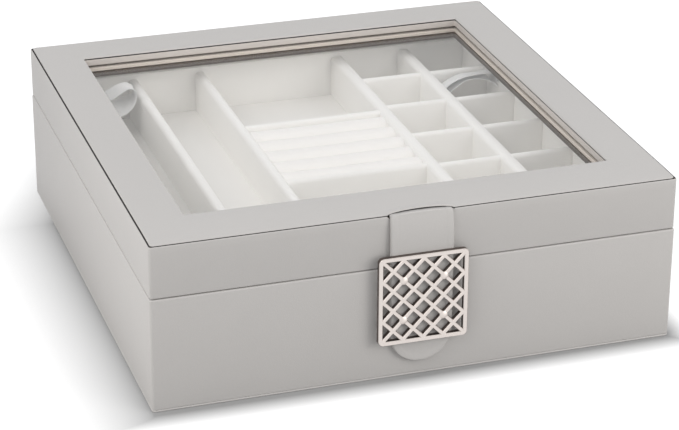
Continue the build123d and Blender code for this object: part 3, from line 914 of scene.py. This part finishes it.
def lid_velvet():
    """Velvet band inside the lid walls."""
    low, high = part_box("lid_liner")
    low.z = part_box("base_liner_back")[1].z + hairline_gap
    high.z += lid_band_rise
    rectangle = (high.x, low.y, high.y, liner_corner)
    outline = soften([
        (0, low.z, 0), (0, high.z, 0), (-lid_band, high.z, 0), (-lid_band, low.z, lid_band_round)
    ])
    piece = swept_ring("lid_velvet", rectangle, outline)
    return dress(piece, "velvet", "lid", "lid_liner")


# Velvet boards

def board_section(half, low, high, end_share, top_round):
    """Upright sides and a rounded top, drawn in by a share of its end rounding."""
    inset = end_share * min(board_end_round, 0.6 * half)
    side = half - inset
    top = high - inset
    top_round = min(top_round, side)
    shoulder = top - top_round
    outline = [(-side, low), (0, low), (side, low)]
    rise = 5
    for step in range(1, rise + 1):
        height = low + (shoulder - low) * step / rise
        bulge = velvet_bulge * math.sin(math.pi * step / (rise + 1))
        outline.append((side + bulge, height))
    turns = 10
    for step in range(1, turns):
        turn = math.pi * step / turns
        crest = math.copysign(side - top_round, math.cos(turn)) * (1 if step != turns / 2 else 0)
        outline.append((crest + top_round * math.cos(turn), shoulder + top_round * math.sin(turn)))
    for step in range(rise, 0, -1):
        height = low + (shoulder - low) * step / rise
        bulge = velvet_bulge * math.sin(math.pi * step / (rise + 1))
        outline.append((-side - bulge, height))
    return outline


def board_shape(low, high, seed, top_round=1.6 * mm, spacing=3.0 * mm):
    """Points and faces of a velvet covered board that fills a box, along its longer side."""
    size = high - low
    along_x = size.x > size.y
    length = size.x if along_x else size.y
    half = (size.y if along_x else size.x) / 2
    count = max(4, round(length / spacing))
    stations = [(0.0, 1.0), (0.25 * board_end_round, 0.35), (board_end_round, 0.0)]
    stations += [(length * step / count, 0.0) for step in range(1, count)]
    stations += [(length - place, share) for place, share in reversed(stations[:3])]
    points = []
    for place, share in stations:
        for across, height in board_section(half, low.z, high.z, share, top_round):
            if along_x:
                points.append((low.x + place, (low.y + high.y) / 2 + across, height))
            else:
                points.append(((low.x + high.x) / 2 + across, low.y + place, height))
    faces = tube_faces(len(stations), len(points) // len(stations))
    return ripple(points, velvet_unevenness, velvet_wave, seed), faces


def padded_boards(name, boxes, seed, top_round=1.6 * mm):
    """One piece made of velvet covered boards, one for each box."""
    points, faces = [], []
    for index, (low, high) in enumerate(boxes):
        more_points, more_faces = board_shape(low, high, seed + index, top_round)
        faces += [tuple(len(points) + corner for corner in face) for face in more_faces]
        points += [tuple(point) for point in more_points]
    return add_mesh(name, points, faces, sharp=50)


def velvet_board(name, node, body, seed, outward, top_round, spread=0):
    """Replaces one board node by a padded one, a wall's filled out to the liner and raised."""
    low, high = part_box(node)
    side = 0 if high.x - low.x < high.y - low.y else 1
    low[side] -= spread
    high[side] += spread
    if outward:
        reach = math.copysign(wall_fill_out, low[side] + high[side])
        (high if reach > 0 else low)[side] += reach
        high.z += wall_rise
    piece = padded_boards(name, [(low, high)], seed, top_round)
    dress(piece, "velvet", body, node)
    return piece


def tray_boards():
    """The tray's walls, long dividers and the bars of the ring section."""
    nodes = {
        "tray_front_velvet": "tray_front_wall", "tray_back_velvet": "tray_back_wall",
        "tray_left_velvet": "tray_left_wall", "tray_right_velvet": "tray_right_wall",
        "divider_left_outer": "long_divider_left_outer",
        "divider_left_inner": "long_divider_left_inner",
        "divider_right_inner": "long_divider_right_inner",
        "divider_right_outer": "long_divider_right_outer",
        "bar_velvet_back": "ring_bar_back", "bar_velvet_front": "ring_bar_front",
    }
    for seed, (name, node) in enumerate(nodes.items()):
        wall = node.endswith("_wall")
        top_round = wall_top_round if wall else divider_top_round
        spread = 0
        if name.startswith("divider"):
            spread = left_divider_spread if "left" in name else right_divider_spread
        piece = velvet_board(name, node, "tray", seed + 1, wall, top_round, spread)


def repeat_tree():
    """Geometry nodes that set copies of a shape in rows and make them real."""
    tree = bpy.data.node_groups.new("rows_of_copies", "GeometryNodeTree")
    sockets = (
        ("Shape", "NodeSocketGeometry"), ("Start", "NodeSocketVector"), ("Count", "NodeSocketInt"),
        ("Step", "NodeSocketVector"), ("Rows", "NodeSocketInt"), ("Row Step", "NodeSocketVector"),
        ("Finish", "NodeSocketMaterial"),
    )
    for label, kind in sockets:
        tree.interface.new_socket(label, in_out="INPUT", socket_type=kind)
    tree.interface.new_socket("Copies", in_out="OUTPUT", socket_type="NodeSocketGeometry")
    given = tree.nodes.new("NodeGroupInput")
    result = tree.nodes.new("NodeGroupOutput")

    def node(kind, links, settings=None):
        made = tree.nodes.new(kind)
        for key, value in (settings or {}).items():
            setattr(made, key, value)
        for socket, source in links.items():
            tree.links.new(source, made.inputs[socket])
        return made

    row = node("GeometryNodeMeshLine", {
        "Count": given.outputs["Count"], "Start Location": given.outputs["Start"],
        "Offset": given.outputs["Step"],
    })
    rows = node("GeometryNodeMeshLine", {
        "Count": given.outputs["Rows"], "Offset": given.outputs["Row Step"],
    })
    grid = node("GeometryNodeInstanceOnPoints", {
        "Points": rows.outputs["Mesh"], "Instance": row.outputs["Mesh"],
    })
    places = node("GeometryNodeRealizeInstances", {"Geometry": grid.outputs["Instances"]})
    copies = node("GeometryNodeInstanceOnPoints", {
        "Points": places.outputs["Geometry"], "Instance": given.outputs["Shape"],
    })
    real = node("GeometryNodeRealizeInstances", {"Geometry": copies.outputs["Instances"]})
    finished = node("GeometryNodeSetMaterial", {
        "Geometry": real.outputs["Geometry"], "Material": given.outputs["Finish"],
    })
    tree.links.new(finished.outputs["Geometry"], result.inputs["Copies"])
    return tree


rows_of_copies = repeat_tree()


def repeated(piece, finish, start, count, step, rows=1, row_step=(0, 0, 0)):
    """Turns a single shape into rows of it, as one plain mesh."""
    modifier = piece.modifiers.new("rows", "NODES")
    modifier.node_group = rows_of_copies
    values = {
        "Start": start, "Count": count, "Step": step, "Rows": rows, "Row Step": row_step,
        "Finish": finishes[finish],
    }
    for item in rows_of_copies.interface.items_tree:
        if item.in_out == "INPUT" and item.name in values:
            modifier[item.identifier] = values[item.name]
    piece.update_tag()
    seen = piece.evaluated_get(bpy.context.evaluated_depsgraph_get())
    mesh = bpy.data.meshes.new_from_object(seen)
    mesh.name = piece.name
    piece.modifiers.clear()
    piece.data = mesh
    return piece


def cross_boards():
    """Thin cross dividers of the two columns of small cells."""
    for name, node, seed in (
        ("cells_inner", "cross_dividers_inner", 21), ("cells_outer", "cross_dividers_outer", 22)
    ):
        low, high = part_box(node)
        pitch = (high.y - low.y - cross_divider) / (crosses_per_column - 1)
        first = Vector((high.x + cross_end_reach, low.y + cross_divider + cross_spread, high.z))
        low -= Vector((cross_end_reach, cross_spread, 0))
        piece = padded_boards(name, [(low, first)], seed, cross_top_round)
        repeated(piece, "velvet", (0, 0, 0), crosses_per_column, (0, pitch, 0))
        dress(piece, "velvet", "tray", node)


def roll_section(share, half, low, high):
    """One section of a ring roll: upright, full at the shoulder, a round crest."""
    side = half * (0.9 + 0.1 * share)
    crest = high - (1 - share) * ring_roll_end_drop
    outline = []
    turns = 28
    for step in range(turns):
        turn = 2 * math.pi * step / turns
        sideways = math.cos(turn)
        upward = math.sin(turn)
        power_x, power_z = (0.9, 0.82) if upward > 0 else (0.3, 0.3)
        x = side * math.copysign(abs(sideways) ** power_x, sideways)
        middle = crest - half
        reach = half if upward > 0 else middle - low
        z = middle + reach * math.copysign(abs(upward) ** power_z, upward)
        outline.append((x, z))
    return outline


def ring_rolls():
    """Soft rolls between the bars, their ends drawn in."""
    low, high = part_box("ring_rolls")
    pitch = (high.y - low.y + ring_roll_gap) / ring_roll_count
    half = pitch / 2 + ring_roll_overlap
    length = high.x - low.x
    stations = []
    steps = 6
    for step in range(steps + 1):
        turn = math.pi / 2 * step / steps
        stations.append((ring_roll_end * (1 - math.cos(turn)), math.sin(turn)))
    count = 22
    stations += [(length * step / count, 1.0) for step in range(2, count - 1)]
    stations += [(length - place, share) for place, share in reversed(stations[:steps + 1])]
    points = []
    for place, share in stations:
        for across, height in roll_section(share, half, low.z, high.z):
            points.append((low.x + place, low.y + pitch / 2 + across, height))
    faces = tube_faces(len(stations), len(points) // len(stations))
    points = ripple(points, ring_roll_unevenness, ring_roll_wave, 31)
    piece = add_mesh("ring_rolls_velvet", points, faces, sharp=60)
    repeated(piece, "roll_velvet", (0, 0, 0), ring_roll_count, (0, pitch, 0))
    dress(piece, "velvet", "tray", "ring_rolls")
    return piece


def padded_floor(name, node, body, puff, edge, seed):
    """A velvet sheet over thin padding, its edges turned down."""
    low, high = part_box(node)
    count_x = 60
    count_y = 62
    points = []
    for row in range(count_y + 1):
        for column in range(count_x + 1):
            share_x = 0.5 - 0.5 * math.cos(math.pi * column / count_x)
            share_y = 0.5 - 0.5 * math.cos(math.pi * row / count_y)
            x = low.x + (high.x - low.x) * share_x
            y = low.y + (high.y - low.y) * share_y
            near = min(x - low.x, high.x - x, y - low.y, high.y - y)
            fall = max(0, 1 - near / edge)
            wave = floor_unevenness * noise.noise(Vector((x, y, seed)) / floor_wave)
            points.append((x, y, high.z - puff * fall * fall + wave))
    faces = grid_faces(count_y + 1, count_x + 1)
    rim = grid_rim(count_y + 1, count_x + 1)
    base = len(points)
    for index in rim:
        points.append((points[index][0], points[index][1], low.z))
    for index in range(len(rim)):
        after = (index + 1) % len(rim)
        faces.append((rim[index], rim[after], base + after, base + index))
    faces.append(tuple(base + index for index in range(len(rim))))
    piece = add_mesh(name, points, faces, sharp=60)
    dress(piece, "velvet", body, node)
    return piece


def liner_velvet():
    """Velvet covered liner of the base, its lip rounded."""
    low_front, high_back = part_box("base_liner_front")[0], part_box("base_liner_back")[1]
    rectangle = (high_back.x, low_front.y, high_back.y, liner_corner)
    outline = soften([
        (0, low_front.z, 0), (0, high_back.z, liner_outer_round),
        (-base_liner, high_back.z, liner_inner_round), (-base_liner, low_front.z, 0)
    ])
    piece = swept_ring("liner_velvet", rectangle, outline)
    sides = ("front", "back", "left", "right")
    return dress(piece, "velvet", "base", *["base_liner_" + side for side in sides])


def lower_boards():
    """Long and cross dividers of the lower tier."""
    low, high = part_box("lower_long_dividers")
    spacing = high.x - low.x - lower_divider
    first = Vector((low.x + lower_divider, high.y, high.z))
    piece = padded_boards("lower_long_velvet", [(low, first)], 41)
    repeated(piece, "velvet", (0, 0, 0), 2, (spacing, 0, 0))
    dress(piece, "velvet", "base", "lower_long_dividers")
    outer = high.x
    inner = high.x - lower_divider
    low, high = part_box("lower_cross_dividers")
    spans = (
        (low.x, -outer, low.y), (-inner, inner, high.y - lower_divider), (outer, high.x, low.y)
    )
    boxes = []
    for left, right, front in spans:
        boxes.append((Vector((left, front, low.z)), Vector((right, front + lower_divider, high.z))))
    piece = padded_boards("lower_cross_velvet", boxes, 43)
    dress(piece, "velvet", "base", "lower_cross_dividers")


def ledge_boards():
    """Padded ledges round the base that carry the tray."""
    low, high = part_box("tray_ledges")
    front, side = low.y + end_ledge, low.x + side_ledge
    boxes = (
        (low, Vector((side, high.y, high.z))), (Vector((-side, low.y, low.z)), high),
        (Vector((side, low.y, low.z)), Vector((-side, front, high.z))),
        (Vector((side, -front, low.z)), Vector((-side, high.y, high.z))),
    )
    piece = padded_boards("ledge_velvet", boxes, 51, wall_top_round)
    dress(piece, "velvet", "base", "tray_ledges")


# Ribbons

def smooth_line(points, per_span=10):
    """A smooth line through points, by Catmull and Rom's rule."""
    points = [Vector(point) for point in points]
    padded = [2 * points[0] - points[1]] + points + [2 * points[-1] - points[-2]]
    line = []
    for index in range(1, len(padded) - 2):
        before, here, after, later = padded[index - 1:index + 3]
        for step in range(per_span):
            share = step / per_span
            line.append(0.5 * (
                2 * here + (after - before) * share
                + (2 * before - 5 * here + 4 * after - later) * share ** 2
                + (3 * here - before - 3 * after + later) * share ** 3
            ))
    line.append(points[-1])
    return line


def ribbon(name, node, middle, widths):
    """A thin band that follows a line, its width along a direction given at each point."""
    line = smooth_line(middle)
    leans = smooth_line(widths)
    across_count = 8
    travelled = [0.0]
    for here, after in zip(line, line[1:]):
        travelled.append(travelled[-1] + (after - here).length)
    top, bottom, uvs = [], [], []
    for index, point in enumerate(line):
        forward = (line[min(index + 1, len(line) - 1)] - line[max(index - 1, 0)]).normalized()
        lean = leans[index]
        lean = (lean - forward * lean.dot(forward)).normalized()
        normal = forward.cross(lean)
        for column in range(across_count + 1):
            share = column / across_count - 0.5
            curl = ribbon_curl * (4 * share * share - 1 / 3)
            place = point + lean * (share * ribbon_width) + normal * curl
            top.append(place + normal * ribbon_thickness / 2)
            bottom.append(place - normal * ribbon_thickness / 2)
            uvs.append((share + 0.5, travelled[index]))
    faces = band_faces(len(line), across_count + 1)
    piece = add_mesh(name, top + bottom, faces, sharp=60)
    layer = piece.data.uv_layers.new(name="UVMap")
    for loop in piece.data.loops:
        layer.data[loop.index].uv = uvs[loop.vertex_index % len(uvs)]
    dress(piece, "satin", "tray", node)
    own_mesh(piece)


def ribbons():
    """The two loops that lift the tray."""
    for side, path in (("left", left_ribbon_path), ("right", right_ribbon_path)):
        node = "pull_ribbon_" + side
        low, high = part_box(node)
        wall_low, wall_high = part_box("tray_" + side + "_wall")
        wall, inward = (wall_high.x, 1) if side == "left" else (wall_low.x, -1)
        line = [
            (wall + inward * reach * mm, (low.y + high.y) / 2, height * mm)
            for reach, height, lean_x, lean_z in path
        ]
        leans = [(lean_x, 1, lean_z) for reach, height, lean_x, lean_z in path]
        ribbon("ribbon_" + side, node, line, leans)


# Strap

def strap_line(front_y, tip_z, top_z, tail_y):
    """The strap's outer face from tail to tip, as (y, z, normal y, normal z)."""
    bend_y = front_y + strap_lean + strap_bend_radius
    tongue_rows, bend_rows, flap_rows, tip_rows = 12, 8, 40, 14
    line = [
        (tail_y + (bend_y - tail_y) * row / tongue_rows, top_z, 0, 1) for row in range(tongue_rows)
    ]
    for row in range(bend_rows + 1):
        turn = math.pi / 2 * row / bend_rows
        line.append((
            bend_y - strap_bend_radius * math.sin(turn),
            top_z - strap_bend_radius * (1 - math.cos(turn)), -math.sin(turn), math.cos(turn)
        ))
    arc_start = tip_z + strap_half_width
    flap_top = top_z - strap_bend_radius
    for row in range(1, flap_rows + 1):
        height = flap_top - (flap_top - arc_start) * row / flap_rows
        lean = clamp(1 - (flap_top - height) / strap_lean_height) ** 2
        line.append((front_y + strap_lean * lean, height, -1, 0))
    for row in range(1, tip_rows + 1):
        turn = math.pi / 2 * row / tip_rows
        line.append((front_y, arc_start - strap_half_width * math.sin(turn), -1, 0))
    return line


def strap_leather():
    """The closure strap: a tongue under the cover, a bend and a flap with a hemmed edge."""
    front_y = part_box("strap_face")[0].y
    back_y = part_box("strap_back")[1].y
    tip_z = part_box("strap_face")[0].z
    top_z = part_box("lid_top_cover")[0].z + cover_bulge - strap_gap
    line = strap_line(front_y, tip_z, top_z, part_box("strap_root")[1].y)
    arc_start = tip_z + strap_half_width
    flap_thickness = back_y - front_y
    columns = [math.copysign(abs(share) ** 0.75, share) for share in np.linspace(-1, 1, 41)]
    front, back = [], []
    for y, z, normal_y, normal_z in line:
        flap_share = 1 - clamp((y - front_y) / strap_lean)
        thicker = (flap_thickness - strap_tongue_thickness) * flap_share
        thickness = strap_tongue_thickness + thicker
        below = max(0, arc_start - z) if normal_z == 0 else 0
        half = max(strap_tip_half, math.sqrt(max(0, strap_half_width ** 2 - below ** 2)))
        for share in columns:
            x = half * share
            edge = max(0, strap_half_width - math.hypot(x, below))
            lift = max(0, strap_edge_round - edge)
            round_in = strap_edge_round - math.sqrt(max(0, strap_edge_round ** 2 - lift ** 2))
            hem = clamp((edge - strap_hem) / strap_hem_run + 0.5) * strap_hem_step
            crease = strap_crease * math.exp(-((edge - strap_hem) / strap_crease_width) ** 2)
            drop = round_in + hem + crease
            height = z - normal_z * (cover_bulge - cover_swell(x, y))
            front.append((x, y - normal_y * drop, height - normal_z * drop))
            inner = thickness - 0.8 * round_in
            back.append((x, y - normal_y * inner, height - normal_z * inner))
    faces = band_faces(len(line), len(columns))
    piece = add_mesh("strap_leather", front + back, faces, sharp=60)
    wear(piece, "leatherette")
    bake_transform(piece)
    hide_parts("strap_root", "strap_face", "strap_back")


# Hardware

def turned(name, profile, turns):
    """A solid turned about Y from (radius, y) pairs, closed at its last ring."""
    points = []
    for radius, y in profile:
        for step in range(turns):
            turn = 2 * math.pi * step / turns
            points.append((radius * math.cos(turn), y, radius * math.sin(turn)))
    return add_mesh(name, points, tube_faces(len(profile), turns, first_cap=False), sharp=35)


def rivets():
    """Domed heads of the rivets that hold the plate."""
    low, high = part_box("clasp_rivets")
    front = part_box("clasp_plate")[0].y
    crown_radius = (rivet_radius ** 2 + rivet_crown ** 2) / (2 * rivet_crown)
    rings = 6
    profile = []
    for ring in range(rings + 1):
        radius = rivet_radius * ring / rings
        height = rivet_crown - crown_radius + math.sqrt(crown_radius ** 2 - radius ** 2)
        profile.append((radius, -height))
    profile += [(rivet_shank, 0), (rivet_shank, high.y - front)]
    piece = turned("clasp_rivet_heads", profile, 28)
    start = (low.x + rivet_radius, front, low.z + rivet_radius)
    step_x = high.x - low.x - 2 * rivet_radius
    step_z = high.z - low.z - 2 * rivet_radius
    repeated(piece, "rivet_nickel", start, 2, (step_x, 0, 0), 2, (0, 0, step_z))
    dress(piece, "nickel", "closure_strap", "clasp_rivets")


def cut_slot(piece):
    """Cuts the driver's slot across a screw's face."""
    points = [
        (x * screw_slot_reach, y, z * screw_slot / 2)
        for x in (-1, 1) for y in (-screw_slot_depth, slot_overrun) for z in (-1, 1)
    ]
    faces = [(0, 1, 3, 2), (4, 5, 7, 6), (0, 1, 5, 4), (2, 3, 7, 6), (0, 2, 6, 4), (1, 3, 7, 5)]
    cutter = add_mesh(piece.name + "_slot", points, faces)
    cut = piece.modifiers.new("slot", "BOOLEAN")
    cut.operation = "DIFFERENCE"
    cut.object = cutter
    seen = piece.evaluated_get(bpy.context.evaluated_depsgraph_get())
    piece.data = bpy.data.meshes.new_from_object(seen)
    piece.modifiers.clear()
    bpy.data.objects.remove(cutter)


def screws():
    """Slotted countersunk screws of the hinge leaves."""
    for body in ("base", "lid"):
        node = "hinge_screws_" + body
        low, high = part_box(node)
        profile = [(0, 0), (screw_face, 0)]
        profile += [(radius, -depth) for radius, depth in (screw_shoulder, screw_head, screw_shank)]
        profile.append((screw_shank[0], low.y - high.y))
        piece = turned("screws_" + body, profile, 24)
        cut_slot(piece)
        leaf_low, leaf_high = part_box("hinge_" + body + "_leaf_left")
        middle = (leaf_low.x + leaf_high.x) / 2
        inner = (leaf_high.x - leaf_low.x) / 2 - screw_inset
        start = (middle - inner, high.y, (low.z + high.z) / 2)
        repeated(piece, "nickel", start, 2, (2 * inner, 0, 0), 2, (-2 * middle, 0, 0))
        dress(piece, "nickel", body, node)


def finish_cad_nodes():
    """Gives each node that stays its slot's finish."""
    slots = {part["node"]: part["material_slot"] for part in frame["record"]["subparts"]}
    for name, node in frame["nodes"].items():
        node.data.materials.clear()
        finish = "clasp_nickel" if name == "clasp_plate" else slots[name]
        node.data.materials.append(finishes[finish])


# Stage

def seen_rays(shader):
    """Rays that come from the camera, from a mirroring face and through a clear one."""
    kinds = ("Is Camera Ray", "Is Glossy Ray", "Is Transmission Ray")
    return [shader.add("LightPath", output=kind) for kind in kinds]


def stage_floor():
    """Pale floor that shows white behind the object and keeps its shadow; its white lift fades near
    the box's left side and front, a painted shadow.
    """
    size = floor_size
    points = [(-size, -size, 0), (size, -size, 0), (size, size, 0), (-size, size, 0)]
    mesh = bpy.data.meshes.new("floor")
    mesh.from_pydata(points, [], [(0, 1, 2, 3)])
    floor = bpy.data.objects.new("floor", mesh)
    bpy.context.scene.collection.objects.link(floor)
    shader = Shader("floor_white")
    diffuse = shader.add("BsdfDiffuse", {}, {"Color": (floor_tone, floor_tone, floor_tone, 1)})
    straight, mirrored, through = seen_rays(shader)
    # The lift fades towards the box, painting a shadow beside its left side and before its front.
    lift = shader.add("Emission", {}, {
        "Color": (1, 1, 1, 1),
        "Strength": floor_lift * (straight + mirrored + through) * painted_shadow_fade(shader),
    })
    surface = shader.add("AddShader", {}, {0: diffuse, 1: lift})
    mesh.materials.append(shader.finish(surface))


def painted_shadow_fade(shader):
    """From 0 at the foot of the box to 1 where the painted shadow on the floor ends."""
    low, high = base_low, base_high
    place = shader.place()
    x = shader.part(place, "X")
    y = shader.part(place, "Y")
    beside = (low.x - x) * (1 / shade_left)
    near_back = beside.maths("MAXIMUM", y - (high.y - shade_left), 0)
    beside = beside + near_back * (1 / (2 * shade_left))
    beside = beside.maths("MAXIMUM", beside, (y - high.y) * (1 / shade_left))
    to_right = beside.maths("MAXIMUM", x, 0) * shade_slant
    before = (low.y - y + to_right - shade_front_start) * (1 / shade_front)
    before = before.maths("MAXIMUM", before, (x - high.x) * (1 / shade_front))
    slow = shader.add("MapRange", {}, {"Value": beside})
    fast = shader.add("MapRange", {}, {"Value": before})
    return fast.maths("MAXIMUM", fast, slow ** shade_fall)


def world_light():
    """Even white surroundings, plain white where they are seen or mirrored."""
    shader = Shader("studio", "World")
    straight, mirrored, through = seen_rays(shader)
    seen = straight.maths("MAXIMUM", straight, through)
    seen = seen.maths("MAXIMUM", seen, mirrored)
    strength = shader.add("MapRange", {}, {"Value": seen, "To Min": world_strength, "To Max": 1.0})
    tint = shader.blend(seen, world_tint, (1, 1, 1, 1))
    background = shader.add("Background", {}, {"Color": tint, "Strength": strength})
    bpy.context.scene.world = shader.finish(background)


def area_light(name, place, target, size, power):
    data = bpy.data.lights.new(name, "AREA")
    data.shape = "SQUARE"
    data.size = size
    data.energy = power
    data.color = lamp_tone
    light = bpy.data.objects.new(name, data)
    light.location = place
    direction = Vector(target) - Vector(place)
    light.rotation_euler = direction.to_track_quat("-Z", "Y").to_euler()
    bpy.context.scene.collection.objects.link(light)


def camera():
    """The photograph's camera: a long lens, left of the front and above."""
    data = bpy.data.cameras.new("camera")
    data.sensor_width = 36.0
    data.lens = data.sensor_width * focal_pixels / image_width
    data.clip_start, data.clip_end = 0.01, 50
    seen = bpy.data.objects.new("camera", data)
    seen.matrix_world = (
        Matrix.Translation(camera_place)
        @ Matrix.Rotation(-camera_azimuth, 4, "Z")
        @ Matrix.Rotation(math.pi / 2 - camera_elevation, 4, "X")
        @ Matrix.Rotation(camera_roll, 4, "Z")
    )
    bpy.context.scene.collection.objects.link(seen)
    bpy.context.scene.camera = seen


finish_cad_nodes()
base_skin()
base_foot()
lid_skin()
lid_seam()
lid_cover()
window_rings()
lid_velvet()
liner_velvet()
lower_boards()
ledge_boards()
tray_boards()
cross_boards()
ring_rolls()
padded_floor("tray_floor_velvet", "tray_lining", "tray", puff=0.5 * mm, edge=3 * mm, seed=1)
floor_pad = padded_floor(
    "floor_pad_velvet", "floor_pad", "base", puff=1.2 * mm, edge=5 * mm, seed=2
)
ribbons()
strap_leather()
rivets()
screws()
stage_floor()
world_light()
for lamp in lamps:
    area_light(*lamp)
camera()

view = bpy.context.scene.view_settings
view.view_transform = "Standard"
